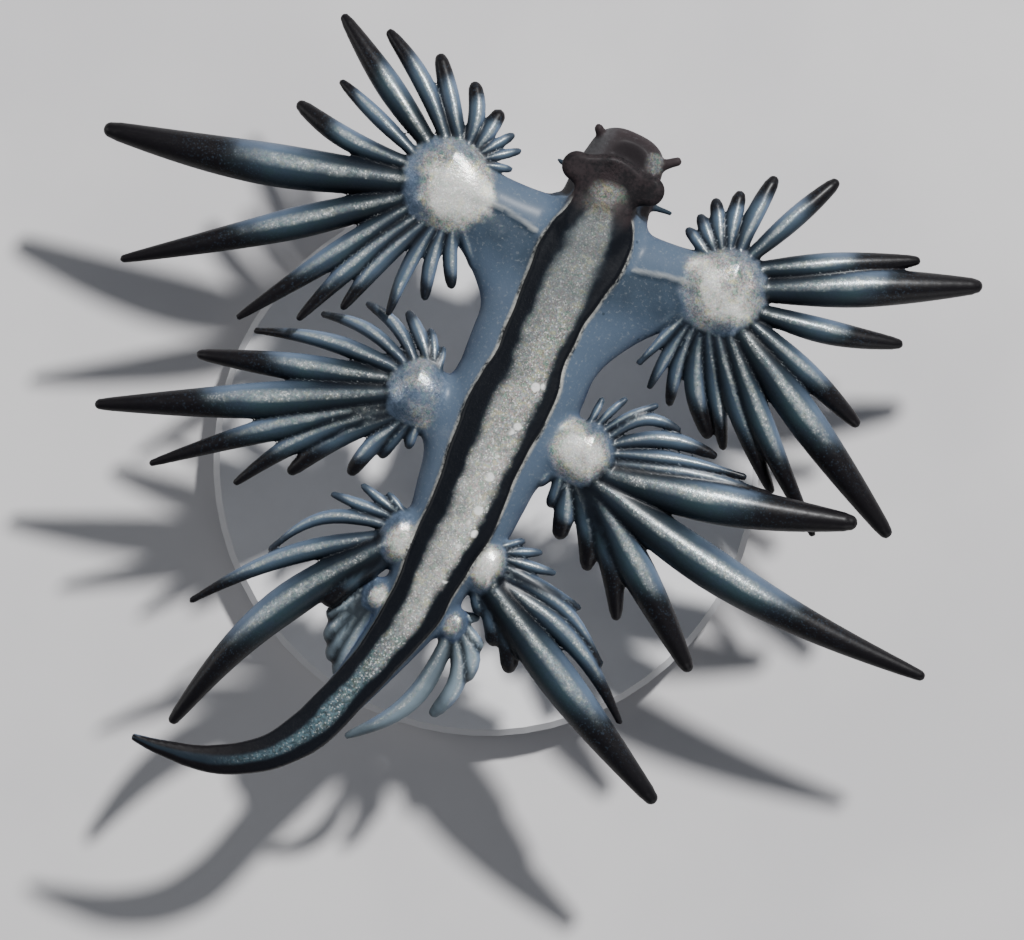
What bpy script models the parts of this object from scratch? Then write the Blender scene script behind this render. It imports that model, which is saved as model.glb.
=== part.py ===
"""Blue dragon sea slug, life size, belly up as it floats, on a plain display stand.

The animal lies along Y with its head to +Y, and its foot looks up. The driving dimensions below are
real sizes in millimetres, and MM turns them into the metres of the scene. The body is one loft through
named stations, parted into lengths. Each arm is a web that swells into a hub, and the cerata of that
hub are tapered tubes set round its rim and fused with it.
"""

import math
from dataclasses import dataclass

import bmesh
import bpy
import numpy as np

MM = 0.001
GAP = 0.3
# Where the animal's own origin lies over the middle of the stand.
SLUG_AT = (0.0, 0.15)
# How far a solid is grown before it cuts a neighbour, so that a full gap is left at its corners too.
ARM_CLEARANCE = 0.42
FEELER_CLEARANCE = 0.36

# The floor is at 0, and the base of the stand lies on it.
BASE_RADIUS = 13.0
BASE_HEIGHT = 2.0
BASE_BEVEL = 0.3
ROD_RADIUS = 0.6
ROD_SIDES = 20
BASE_SIDES = 64
ROD_PLACES = {"stand_rod_front": 8.8, "stand_rod_rear": -4.2}

RING_STEP = 1.15
# The sole is slightly crowned and has a rim of this height, and its edge is this thick.
FOOT_CROWN = 0.18
FOOT_RIM = 0.24
FOOT_THICK = 0.5
FOOT_UNDERCUT = 0.93
# Points across half the sole: share of its half width, share of the crown.
SOLE_POINTS = ((0.0, 1.0), (0.50, 0.75), (0.86, 0.0))
FLANK_ANGLES = (8, -18, -44, -68)

# A ceras starts inside its hub, swells to its belly and narrows to a blunt tip.
CERAS_SINK = 0.9
CERAS_ROOT_WIDTH = 0.68
CERAS_BELLY = 0.36
CERAS_TIP_WIDTH = 0.36
CERAS_TAPER = 1.2
CERAS_DROOP = 1.4
CERAS_FLAT = 0.94
CERAS_LEVEL = 0.42
RUN_JITTER = 0.06
# Length over which each kind starts, sides, and where its rings lie along it.
CERAS_KINDS = (
    (9.0, 8, (0.0, 0.16, 0.36, 0.60, 0.82, 0.965)),
    (3.0, 6, (0.0, 0.26, 0.62, 0.92)),
    (0.0, 5, (0.0, 0.35, 0.75)),
)


@dataclass(frozen=True)
class Station:
    """One cross-section of the body: its middle, half widths, depth below the sole and height of the sole."""

    x: float
    y: float
    foot: float
    flank: float
    depth: float
    top: float


# From the neck to the end of the tail.
STATIONS = (
    Station(-0.30, 13.10, 1.42, 2.15, 3.5, 11.40),
    Station(-0.20, 10.60, 2.05, 2.70, 4.3, 11.60),
    Station(-0.28, 6.20, 1.72, 3.05, 4.7, 11.70),
    Station(-0.18, 2.00, 1.66, 3.00, 4.6, 11.70),
    Station(0.00, -2.00, 1.68, 2.60, 4.2, 11.60),
    Station(0.00, -5.20, 1.58, 2.10, 3.6, 11.40),
    Station(-0.05, -8.30, 1.40, 1.55, 2.9, 11.10),
    Station(-1.05, -11.70, 1.13, 1.10, 2.3, 10.80),
    Station(-2.75, -15.30, 0.98, 0.90, 1.8, 10.55),
    Station(-4.75, -17.70, 0.72, 0.66, 1.4, 10.35),
    Station(-6.40, -18.60, 0.56, 0.50, 1.1, 10.20),
    Station(-7.90, -18.95, 0.40, 0.36, 0.8, 10.10),
    Station(-9.60, -19.00, 0.22, 0.20, 0.5, 10.00),
)
# The share of the last stretch that the pointed end of the tail takes.
TAIL_POINT = 0.35
# The nodes that the body is parted into, by their place along the stations.
BODY_LENGTHS = {
    "trunk_front": (0.0, 1.80),
    "trunk_middle": (1.80, 3.75),
    "trunk_rear": (3.75, 5.95),
    "tail_base": (5.95, 8.10),
    "tail_tip": (8.10, len(STATIONS) - 1),
}

# The lobes that the front edge of the foot ends in, turned with the head.
COLLAR_MIDDLE = (-0.33, 14.66)
COLLAR_TURN = 9.7
COLLAR_REACH = 1.62
COLLAR_LOBE = 0.84
COLLAR_WAIST = 0.55
COLLAR_TOP = 11.46
COLLAR_THICK = 0.8
NECK_MIDDLE = (-0.31, 13.70)
NECK_REACH = 0.15
NECK_HALF = 1.35

HEAD_X = -0.22
HEAD_SIDES = 20
HEAD_SQUARE = 0.88
# Along Y: place, half width, height of the middle, half height.
HEAD_SECTIONS = (
    (13.42, 2.02, 8.85, 1.45),
    (14.30, 2.02, 8.88, 1.45),
    (15.15, 1.86, 9.00, 1.38),
    (15.80, 1.76, 9.18, 1.36),
    (16.30, 1.62, 9.30, 1.24),
    (16.65, 1.34, 9.36, 1.00),
    (16.88, 0.86, 9.38, 0.64),
)
HEAD_NOSE = 16.98
MOUTH_AT = (-0.20, 16.20, 10.24)
MOUTH_TILT = 38.0
LIP_SIZE = (0.56, 0.46)
LIP_THICK = 0.17
MOUTH_SIZE = (0.42, 0.33, 0.42)

ORAL_RADII = (0.36, 0.33, 0.25)
RHINO_RADII = (0.27, 0.25, 0.19)
# Each feeler: where its middle line starts in the head, where it ends, and its radii.
FEELERS = {
    "oral_tentacle_left": ((-1.60, 16.08, 9.50), (-2.48, 16.82, 10.05), ORAL_RADII),
    "oral_tentacle_right": ((1.22, 16.12, 9.55), (2.24, 16.68, 9.70), ORAL_RADII),
    "rhinophore_left": ((-2.02, 14.18, 8.95), (-3.18, 14.35, 9.15), RHINO_RADII),
    "rhinophore_right": ((1.58, 14.18, 8.95), (2.80, 14.35, 9.15), RHINO_RADII),
}


@dataclass(frozen=True)
class Ceras:
    """One ceras of a hub.

    root and tip are bearings round the middle of the hub, in degrees: 0 is straight out from the body
    and 90 is toward the head. reach runs from the middle of the hub to the tip, girth is the widest
    point, bow is how far its middle stands off a straight line, toward the higher bearing, and drop is
    how far the tip lies below the root.
    """

    root: float
    tip: float
    reach: float
    girth: float
    bow: float = 0.0
    drop: float = 1.0


@dataclass(frozen=True)
class Run:
    """A run of small cerata that change evenly from the first to the last."""

    count: int
    first: Ceras
    last: Ceras


@dataclass(frozen=True)
class Arm:
    """An arm: a web from the flank out to a hub, and the cerata round the hub's rim.

    hub is the middle of the hub, outward and toward the head, and radii are its half widths the same
    way. root_y and root_half place the web on the flank, and top and thick are those of the hub.
    """

    name: str
    side: int
    hub: tuple
    radii: tuple
    root_y: float
    root_half: float
    top: float
    thick: float
    cerata: tuple


ARMS = (
    Arm("arm_front_left", -1, (7.55, 11.0), (2.05, 2.15), 9.9, 3.0, 11.2, 2.7, (
        Run(3, Ceras(134, 145, 3.3, 0.36, drop=0.4), Ceras(119, 121, 4.2, 0.46, drop=0.5)),
        Ceras(112, 104, 4.3, 0.76, drop=0.6),
        Ceras(99, 82, 4.9, 0.76, 0.25, 0.6),
        Ceras(86, 63, 6.0, 0.85, 0.0, 0.8),
        Ceras(66, 43, 7.6, 0.94, 0.0, 1.0),
        Ceras(42, 34, 9.2, 1.23, 0.0, 1.3),
        Ceras(18, 19, 6.8, 0.72, 0.0, 1.2),
        Ceras(0, 3, 7.8, 1.00, -0.35, 1.6),
        Ceras(-23, -16.5, 16.2, 1.95, -0.33, 1.9),
        Ceras(-46, -39, 15.7, 1.46, -0.1, 1.7),
        Ceras(-61, -59, 11.7, 1.10, 0.0, 0.7),
        Ceras(-77, -69, 9.5, 0.94, 0.2, 0.4),
        Ceras(-91, -77, 7.7, 0.82, 0.2, 0.3),
        Run(3, Ceras(-104, -93, 6.5, 0.66, 0.2, 0.4), Ceras(-129, -120, 5.1, 0.64, 0.1, 0.7)),
        Run(3, Ceras(-140, -135, 4.1, 0.40, 0.0, 0.6), Ceras(-156, -157, 3.0, 0.34, 0.0, 0.4)),
    )),
    Arm("arm_front_right", 1, (6.85, 12.05), (1.85, 2.05), 10.1, 2.8, 11.2, 2.7, (
        Run(3, Ceras(146, 148, 3.7, 0.52, drop=0.4), Ceras(127, 123, 4.3, 0.66, drop=0.5)),
        Ceras(116, 108, 4.8, 0.71, 0.1, 0.6),
        Ceras(101, 93, 5.9, 0.80, 0.1, 0.7),
        Ceras(82, 71, 7.4, 0.94, 0.0, 0.9),
        Ceras(56, 35, 9.2, 1.18, 0.0, 1.2),
        Ceras(27, 27, 12.0, 1.75, 0.0, 1.5),
        Ceras(-5, 9, 8.6, 1.15, -0.2, 1.5),
        Ceras(-25, -20, 8.8, 1.09, 0.1, 1.7),
        Ceras(-43, -31, 13.8, 1.65, 0.0, 2.0),
        Ceras(-61, -45, 12.2, 1.18, -0.2, 2.6),
        Ceras(-79, -52, 9.7, 1.04, -0.2, 2.5),
        Ceras(-93, -66, 7.4, 0.85, 0.0, 2.4),
        Ceras(-104, -72, 6.9, 0.95, -0.5, 2.1),
        Run(3, Ceras(-115, -92, 6.3, 0.70, -0.2, 1.9), Ceras(-131, -116, 5.3, 0.47, 0.0, 0.9)),
        Run(2, Ceras(-140, -129, 4.5, 0.38, 0.0, 0.6), Ceras(-150, -144, 3.6, 0.32, 0.0, 0.4)),
    )),
    Arm("arm_middle_left", -1, (4.55, 1.50), (1.35, 1.50), 0.9, 3.1, 11.0, 2.5, (
        Run(3, Ceras(120, 99, 2.6, 0.32, drop=0.5), Ceras(92, 60, 3.6, 0.57, 0.1, 0.9)),
        Ceras(62, 36, 4.7, 0.57, 0.35, 2.0),
        Ceras(42, 14, 5.7, 0.61, 0.45, 2.3),
        Ceras(22, -5, 8.1, 0.80, 0.40, 2.4),
        Ceras(-2, -16, 10.4, 1.23, 0.0, 2.0),
        Ceras(-30, -28, 15.1, 1.60, -0.1, 1.9),
        Ceras(-50, -41, 13.0, 1.18, 0.2, 1.6),
        Ceras(-65, -53, 9.6, 0.99, 0.55, 1.2),
        Ceras(-80, -59, 7.1, 0.94, 0.40, 1.0),
        Ceras(-97, -78, 5.0, 0.76, 0.20, 0.9),
        Run(3, Ceras(-112, -89, 3.5, 0.57, 0.1, 0.8), Ceras(-140, -130, 2.3, 0.40, 0.0, 0.4)),
    )),
    Arm("arm_middle_right", 1, (4.05, 2.30), (1.45, 1.45), 1.5, 3.0, 11.1, 2.5, (
        Run(3, Ceras(108, 98, 2.6, 0.32, drop=0.2), Ceras(76, 59, 3.9, 0.40, 0.1, 0.3)),
        Ceras(60, 39, 4.6, 0.55, 0.66, 0.3),
        Ceras(43, 24, 6.2, 0.74, 0.50, 0.4),
        Ceras(24, 17, 7.7, 0.66, 0.20, 0.4),
        Ceras(5, 13, 8.9, 0.70, 0.20, 0.5),
        Ceras(-20, 11, 13.2, 1.90, -0.30, 0.7),
        Ceras(-48, -8, 19.2, 1.85, -0.75, 1.7),
        Ceras(-61, -39, 11.4, 1.55, 0.1, 1.9),
        Ceras(-73, -54, 8.0, 1.13, 0.45, 1.5),
        Ceras(-86, -64, 5.5, 1.04, 0.35, 1.1),
        Ceras(-102, -82, 4.2, 0.92, 0.10, 0.8),
        Run(2, Ceras(-119, -99, 3.2, 0.57, 0.1, 0.6), Ceras(-136, -119, 2.6, 0.40, 0.0, 0.4)),
    )),
    Arm("arm_rear_left", -1, (2.30, -5.05), (0.75, 1.10), -5.1, 1.55, 10.9, 1.9, (
        Run(3, Ceras(82, 52, 2.0, 0.32, drop=0.2), Ceras(40, 7, 3.7, 0.47, 0.0, 0.4)),
        Ceras(12, -32, 6.1, 0.57, 0.95, 0.9),
        Ceras(-22, -43, 10.3, 0.85, 0.55, 1.4),
        Ceras(-52, -65, 13.9, 1.50, 0.90, 2.4),
        Ceras(-80, -69, 4.7, 0.80, 0.2, 0.3),
        Ceras(-104, -72, 2.8, 0.50, 0.1, 0.2),
    )),
    Arm("arm_rear_right", 1, (2.20, -4.60), (0.75, 1.10), -4.6, 1.55, 10.9, 1.9, (
        Run(3, Ceras(84, 62, 2.2, 0.32, drop=0.2), Ceras(44, 21, 3.3, 0.42, 0.0, 0.4)),
        Ceras(22, 2, 4.8, 0.57, 0.0, 0.6),
        Ceras(2, -15, 7.1, 0.64, 0.75, 0.8),
        Ceras(-20, -24, 9.7, 0.92, 0.80, 1.2),
        Ceras(-44, -29, 13.6, 1.60, -0.1, 2.0),
        Ceras(-68, -53, 5.0, 0.90, 0.5, 0.9),
        Run(2, Ceras(-86, -60, 3.7, 0.62, 0.25, 0.6), Ceras(-104, -74, 2.1, 0.40, 0.0, 0.3)),
    )),
    Arm("arm_last_left", -1, (2.05, -7.95), (0.50, 0.60), -7.9, 0.80, 10.1, 1.3, (
        Ceras(30, -14, 1.3, 0.36, 0.0, 0.2),
        Ceras(-30, -56, 2.4, 0.50, 0.0, 0.4),
        Ceras(-62, -78, 3.1, 0.60, 0.2, 0.9),
        Ceras(-88, -89, 4.2, 0.55, 0.2, 1.1),
    )),
    Arm("arm_last_right", 1, (1.95, -7.70), (0.50, 0.60), -7.7, 0.80, 10.1, 1.3, (
        Run(2, Ceras(60, 43, 1.2, 0.34, drop=0.1), Ceras(20, -17, 1.6, 0.42, 0.0, 0.2)),
        Ceras(-20, -56, 2.6, 0.72, 0.4, 0.5),
        Ceras(-60, -80, 4.4, 0.68, 0.7, 1.0),
        Ceras(-92, -109, 7.4, 0.88, 0.95, 1.9),
    )),
)

# Colour and roughness, by the start of a node's name.
FINISHES = {
    "trunk": ((0.20, 0.26, 0.36), 0.35),
    "tail": ((0.06, 0.09, 0.15), 0.30),
    "arm": ((0.24, 0.34, 0.48), 0.32),
    "head": ((0.09, 0.07, 0.08), 0.38),
    "oral": ((0.10, 0.08, 0.09), 0.38),
    "rhinophore": ((0.30, 0.31, 0.36), 0.40),
    "stand_base": ((0.86, 0.86, 0.84), 0.35),
    "stand_rod": ((0.62, 0.63, 0.65), 0.25),
}


def clear_scene():
    """Removes everything that the scene starts with."""
    for obj in list(bpy.data.objects):
        bpy.data.objects.remove(obj, do_unlink=True)


def finish_for(name):
    """The material of a node, from the finish whose key its name starts with."""
    key = next(key for key in FINISHES if name.startswith(key))
    colour, roughness = FINISHES[key]
    material = bpy.data.materials.new(f"{name}_finish")
    material.use_nodes = True
    shader = material.node_tree.nodes["Principled BSDF"]
    shader.inputs["Base Color"].default_value = (*colour, 1.0)
    shader.inputs["Roughness"].default_value = roughness
    shader.inputs["Metallic"].default_value = 1.0 if key == "stand_rod" else 0.0
    return material


def loft(rings, tip=None):
    """Points and faces of a closed skin over rings of equal length, with a flat first end.

    The last end runs to the point tip, or is flat where there is none.
    """
    count = len(rings[0])
    points = [tuple(point) for ring in rings for point in ring]
    faces = [tuple(range(count))[::-1]]
    for row in range(len(rings) - 1):
        for i in range(count):
            j = (i + 1) % count
            low, high = row * count, (row + 1) * count
            faces.append((low + i, low + j, high + j, high + i))
    last = (len(rings) - 1) * count
    if tip is None:
        faces.append(tuple(range(last, last + count)))
    else:
        points.append(tuple(tip))
        faces += [(last + i, last + (i + 1) % count, len(points) - 1) for i in range(count)]
    return points, faces


def add_solid(name, shape):
    """An object of a closed shape in millimetres, with its faces turned outward."""
    points, faces = shape
    mesh = bpy.data.meshes.new(name)
    mesh.from_pydata([tuple(MM * c for c in point) for point in points], [], faces)
    work = bmesh.new()
    work.from_mesh(mesh)
    bmesh.ops.triangulate(work, faces=work.faces[:])
    if work.calc_volume(signed=True) < 0:
        bmesh.ops.reverse_faces(work, faces=work.faces[:])
    work.to_mesh(mesh)
    work.free()
    obj = bpy.data.objects.new(name, mesh)
    bpy.context.scene.collection.objects.link(obj)
    return obj


def apply_boolean(obj, operation, others):
    """Joins obj with the other objects, or cuts them from it, and removes them."""
    group = bpy.data.collections.new(f"{obj.name}_{operation.lower()}")
    bpy.context.scene.collection.children.link(group)
    for other in others:
        group.objects.link(other)
    modifier = obj.modifiers.new(operation.title(), "BOOLEAN")
    modifier.operation = operation
    modifier.operand_type = "COLLECTION"
    modifier.collection = group
    bpy.context.view_layer.update()
    graph = bpy.context.evaluated_depsgraph_get()
    made = bpy.data.meshes.new_from_object(obj.evaluated_get(graph))
    obj.modifiers.clear()
    obj.data = made
    for other in others:
        bpy.data.objects.remove(other, do_unlink=True)
    bpy.data.collections.remove(group)


def keep_largest(obj):
    """Keeps only the largest closed surface of the object."""
    work = bmesh.new()
    work.from_mesh(obj.data)
    bmesh.ops.triangulate(work, faces=work.faces[:])
    left = set(work.faces)
    pieces = []
    while left:
        front = [left.pop()]
        piece = set(front)
        while front:
            face = front.pop()
            for edge in face.edges:
                near = [other for other in edge.link_faces if other in left]
                left.difference_update(near)
                piece.update(near)
                front.extend(near)
        pieces.append(piece)
    largest = max(pieces, key=lambda piece: sum(face.calc_area() for face in piece))
    spare = [face for piece in pieces if piece is not largest for face in piece]
    bmesh.ops.delete(work, geom=spare, context="FACES")
    work.to_mesh(obj.data)
    work.free()


def dress(obj):
    """Gives a finished node its material and smooth shading."""
    obj.data.materials.clear()
    obj.data.materials.append(finish_for(obj.name))
    obj.data.shade_smooth()
    obj.data.set_sharp_from_angle(angle=math.radians(50))


def smooth_between(rows, place):
    """The row at a place along the rows, on a smooth curve through them all."""
    rows = np.asarray(rows, float)
    i = min(int(place), len(rows) - 2)
    t = place - i
    before = rows[max(i - 1, 0)]
    after = rows[min(i + 2, len(rows) - 1)]
    slope_in = (rows[i + 1] - before) / (2 if i else 1)
    slope_out = (after - rows[i]) / (2 if i < len(rows) - 2 else 1)
    a, b = t * t * (3 - 2 * t), t * (1 - t)
    return rows[i] * (1 - a) + rows[i + 1] * a + b * (1 - t) * slope_in - b * t * slope_out


STATION_ROWS = [(s.x, s.y, s.foot, s.flank, s.depth, s.top) for s in STATIONS]


def body_ring(place, grow=0.0):
    """The body's outline at a place along its stations, grown outward by a clearance."""
    x, y, foot, flank, depth, top = smooth_between(STATION_ROWS, place)
    step = 0.02
    ahead = smooth_between(STATION_ROWS, min(place + step, len(STATIONS) - 1))[:2]
    behind = smooth_between(STATION_ROWS, max(place - step, 0.0))[:2]
    along = (ahead - behind) / np.linalg.norm(ahead - behind)
    across = np.array((-along[1], along[0]))
    half = [(share * foot, rise * FOOT_CROWN) for share, rise in SOLE_POINTS]
    half += [
        (foot, -min(FOOT_RIM, 0.3 * depth)),
        (FOOT_UNDERCUT * foot, -min(FOOT_THICK, 0.45 * depth)),
        (0.55 * foot + 0.42 * flank, -0.30 * depth),
    ]
    for turn in map(math.radians, FLANK_ANGLES):
        half.append((flank * math.cos(turn), -0.5 * depth + 0.5 * depth * math.sin(turn)))
    half.append((0.0, -depth))
    outline = half + [(-side, rise) for side, rise in half[-2:0:-1]]
    middle = -0.4 * depth
    ring = []
    for side, rise in outline:
        swell = 1 + grow / math.hypot(side, rise - middle)
        px, py = np.array((x, y)) + across * side * swell
        ring.append((px, py, top + middle + (rise - middle) * swell))
    return ring


def body_shape(start, end, grow=0.0):
    """The body between two places.

    Each end is trimmed by half the gap where another length follows. A grown body is longer as well as
    wider, for cutting its neighbours clear of it.
    """
    def arc(a, b):
        return math.dist(smooth_between(STATION_ROWS, a)[:2], smooth_between(STATION_ROWS, b)[:2])

    last = len(STATIONS) - 1
    tip = None
    if start > 0:
        start += 0.05 * GAP / arc(start, start + 0.1)
    if end < last:
        end -= 0.05 * GAP / arc(end - 0.1, end)
    length = sum(arc(a, a + 0.1) for a in np.arange(start, end - 0.05, 0.1))
    steps = max(3, round(length / RING_STEP))
    places = np.linspace(start, end if end < last else last - TAIL_POINT, steps + 1)
    rings = [body_ring(place, grow) for place in places]
    if grow:
        rings.insert(0, [(x, y + 2 * grow, z) for x, y, z in rings[0]])
    if end >= last:
        final = STATIONS[-1]
        tip = (final.x - grow, final.y, final.top - 0.5 * final.depth)
    return loft(rings, tip)


def plate_outline(reach, radius, waist):
    """Points round a flat shape with a round lobe at each end and a waist between them."""
    arc = [math.radians(angle) for angle in (-72, -43, -14, 14, 43, 72)]
    right = [(reach + radius * math.cos(a), radius * math.sin(a)) for a in arc]
    left = [(-x, y) for x, y in reversed(right)]
    return [*right, (0.0, waist), *left, (0.0, -waist)]


def plate(middle, reach, radius, waist, turn, top, thick):
    """A flat plate with softened edges, for the front of the foot."""
    spin = math.radians(turn)
    soft = 0.3 * radius
    rings = []
    for level, inset in ((0.0, soft), (-0.25, 0.0), (-0.75, 0.0), (-1.0, soft)):
        rings.append([
            (
                middle[0] + x * math.cos(spin) - y * math.sin(spin),
                middle[1] + x * math.sin(spin) + y * math.cos(spin),
                top + level * thick,
            )
            for x, y in plate_outline(reach, radius - inset, waist - inset)
        ])
    return loft(rings)


def neck_of_foot():
    """The strip of the sole that joins the lobes to the trunk, a little proud of them."""
    top, thick = COLLAR_TOP + 0.02, COLLAR_THICK - 0.06
    return plate(NECK_MIDDLE, NECK_REACH, NECK_HALF, NECK_HALF, 90.0, top, thick)


def ellipse_ring(middle, across, half_wide, half_high, sides, square):
    """A ring round a middle point, wide along the flat direction across and high along Z.

    A square below 1 makes it fuller at its corners.
    """
    ring = []
    for k in range(sides):
        angle = 2 * math.pi * k / sides
        c, s = math.cos(angle), math.sin(angle)
        wide = math.copysign(abs(c) ** square, c) * half_wide
        high = math.copysign(abs(s) ** square, s) * half_high
        ring.append((middle[0] + across[0] * wide, middle[1] + across[1] * wide, middle[2] + high))
    return ring


def head_shape(grow=0.0):
    """The snout, or a larger one that cuts its neighbours clear of it."""
    rings = [
        ellipse_ring((HEAD_X, y, z), (1, 0), wide + grow, high + grow, HEAD_SIDES, HEAD_SQUARE)
        for y, wide, z, high in HEAD_SECTIONS
    ]
    return loft(rings, (HEAD_X, HEAD_NOSE + grow, HEAD_SECTIONS[-1][2]))


def tube(points, radii, sides, flat=1.0):
    """A closed tube round points that run nearly level, ending in a point."""
    points = np.asarray(points, float)
    radii = np.asarray(radii, float) / math.cos(math.pi / sides) ** 0.5
    rings = []
    for k, radius in enumerate(radii):
        along = points[min(k + 1, len(points) - 1)] - points[max(k - 1, 0)]
        along /= np.linalg.norm(along)
        across = np.array((-along[1], along[0], 0.0))
        across /= np.linalg.norm(across)
        rise = np.cross(along, across)
        ring = []
        for i in range(sides):
            angle = 2 * math.pi * (i + 0.5) / sides
            offset = across * math.cos(angle) + rise * math.sin(angle) * flat
            ring.append(points[k] + radius * offset)
        rings.append(ring)
    return loft(rings, points[-1])


def ceras_width(t):
    """How wide a ceras is at a share t of its length, as a share of its girth."""
    if t < CERAS_BELLY:
        swell = math.sin(0.5 * math.pi * max(t, 0.0) / CERAS_BELLY)
        return CERAS_ROOT_WIDTH + (1 - CERAS_ROOT_WIDTH) * swell
    taper = (t - CERAS_BELLY) / (1 - CERAS_BELLY)
    return 1 - (1 - CERAS_TIP_WIDTH) * taper ** CERAS_TAPER


def ceras_tube(arm, ceras):
    """The tube of one ceras, from inside the hub to its tip."""
    hub = np.array((arm.hub[0], arm.hub[1]))
    root_turn, tip_turn = math.radians(ceras.root), math.radians(ceras.tip)
    rim = np.array((arm.radii[0] * math.cos(root_turn), arm.radii[1] * math.sin(root_turn)))
    root = hub + rim
    tip = hub + ceras.reach * np.array((math.cos(tip_turn), math.sin(tip_turn)))
    length = np.linalg.norm(tip - root)
    along = (tip - root) / length
    bend = np.array((-along[1], along[0]))
    level = arm.top - CERAS_LEVEL * arm.thick
    sides, shares = next((sides, shares) for least, sides, shares in CERAS_KINDS if length > least)
    inward = rim / np.linalg.norm(rim)
    sink = min(CERAS_SINK, 0.8 * np.linalg.norm(rim))
    plan = [root - inward * sink]
    heights = [level]
    for t in (*shares, 1.0):
        plan.append(root + along * length * t + bend * ceras.bow * math.sin(math.pi * t))
        heights.append(level - ceras.drop * t ** CERAS_DROOP)
    points = [(arm.side * x, y, z) for (x, y), z in zip(plan, heights)]
    radii = [0.5 * ceras.girth * ceras_width(t) for t in (0.0, *shares)]
    return tube(points, radii, sides, CERAS_FLAT)


def spread(arm, seed):
    """Every ceras of an arm, with the runs worked out one by one."""
    chance = np.random.default_rng(seed)
    for entry in arm.cerata:
        if isinstance(entry, Ceras):
            yield entry
            continue
        for k in range(entry.count):
            t = k / (entry.count - 1)
            pairs = zip(vars(entry.first).values(), vars(entry.last).values())
            values = [a + (b - a) * t for a, b in pairs]
            values[2] *= 1 + RUN_JITTER * chance.uniform(-1, 1)
            yield Ceras(*values)


def arm_shape(arm):
    """The web and hub of an arm, from inside the trunk to the far rim of the hub."""
    root = np.array((0.6, arm.root_y))
    hub = np.array(arm.hub)
    along = hub - root
    length = np.linalg.norm(along)
    along /= length
    across = np.array((-along[1], along[0]))
    rings = []
    hub_half, out = arm.radii[1], arm.radii[0]

    def ring_at(distance, half, top, thick):
        x, y = root + along * distance
        turned = (across[0] * arm.side, across[1])
        middle = (arm.side * x, y, top - 0.5 * thick)
        return ellipse_ring(middle, turned, half, 0.5 * thick, 14, 0.9)

    for share in (0.0, 0.3, 0.52, 0.72, 0.88, 1.0):
        ease = share * share * (3 - 2 * share)
        half = arm.root_half + (hub_half - arm.root_half) * ease
        top = arm.top - 0.35 * (1 - ease)
        rings.append(ring_at(length * share, half, top, arm.thick * (0.92 + 0.08 * ease)))
    for share in (0.45, 0.78, 0.95):
        round_off = math.sqrt(1 - share * share)
        lowered = arm.top - 0.22 * (1 - round_off) * arm.thick
        thick = arm.thick * (0.4 + 0.6 * round_off)
        rings.append(ring_at(length + out * share, hub_half * round_off, lowered, thick))
    far = root + along * (length + out)
    return loft(rings, (arm.side * far[0], far[1], arm.top - 0.5 * arm.thick))


def make_body():
    """The lengths of trunk and tail. The front one carries the lobes of the foot."""
    for name, (start, end) in BODY_LENGTHS.items():
        length = add_solid(name, body_shape(start, end))
        if name == "trunk_front":
            collar = plate(
                COLLAR_MIDDLE, COLLAR_REACH, COLLAR_LOBE, COLLAR_WAIST,
                COLLAR_TURN, COLLAR_TOP, COLLAR_THICK,
            )
            parts = [add_solid("collar", collar), add_solid("neck", neck_of_foot())]
            apply_boolean(length, "UNION", parts)
            keep_largest(length)
        dress(length)


def lip_ring():
    """A flattened ring that stands for the lips, lying on the slope of the snout."""
    turn = math.radians(MOUTH_TILT)
    around, tube_sides = 16, 6
    points = []
    for i in range(around):
        a = 2 * math.pi * i / around
        for j in range(tube_sides):
            b = 2 * math.pi * j / tube_sides
            x = (LIP_SIZE[0] + LIP_THICK * math.cos(b)) * math.cos(a)
            y = (LIP_SIZE[1] + LIP_THICK * math.cos(b)) * math.sin(a)
            z = LIP_THICK * math.sin(b)
            points.append((
                MOUTH_AT[0] + x,
                MOUTH_AT[1] + y * math.cos(turn) + z * math.sin(turn),
                MOUTH_AT[2] - y * math.sin(turn) + z * math.cos(turn),
            ))
    faces = []
    for i in range(around):
        for j in range(tube_sides):
            a, b = i * tube_sides, ((i + 1) % around) * tube_sides
            k = (j + 1) % tube_sides
            faces.append((a + j, a + k, b + k, b + j))
    return points, faces


def mouth_hollow():
    """The rounded hollow between the lips."""
    turn = math.radians(MOUTH_TILT)
    rings = []
    for level in (-0.92, -0.7, -0.35, 0.0, 0.35, 0.7, 0.92):
        size = math.sqrt(1 - level * level)
        ring = []
        for k in range(12):
            a = 2 * math.pi * k / 12
            x = MOUTH_SIZE[0] * size * math.cos(a)
            y = MOUTH_SIZE[1] * size * math.sin(a)
            z = MOUTH_SIZE[2] * level
            ring.append((
                MOUTH_AT[0] + x,
                MOUTH_AT[1] + y * math.cos(turn) + z * math.sin(turn),
                MOUTH_AT[2] - y * math.sin(turn) + z * math.cos(turn),
            ))
        rings.append(ring)
    return loft(rings)


def make_head():
    """The snout with its lips and mouth, the oral tentacles in front and the rhinophores beside it."""
    head = add_solid("head", head_shape())
    apply_boolean(head, "UNION", [add_solid("lips", lip_ring())])
    apply_boolean(head, "DIFFERENCE", [add_solid("mouth", mouth_hollow())])
    keep_largest(head)
    dress(head)
    for name, (root, tip, radii) in FEELERS.items():
        run = [[a + (b - a) * t for a, b in zip(root, tip)] for t in (0.0, 0.5, 0.85, 1.0)]
        feeler = add_solid(name, tube(run, radii, 8))
        snout = add_solid("clear_of_head", head_shape(FEELER_CLEARANCE))
        apply_boolean(feeler, "DIFFERENCE", [snout])
        keep_largest(feeler)
        dress(feeler)


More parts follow.
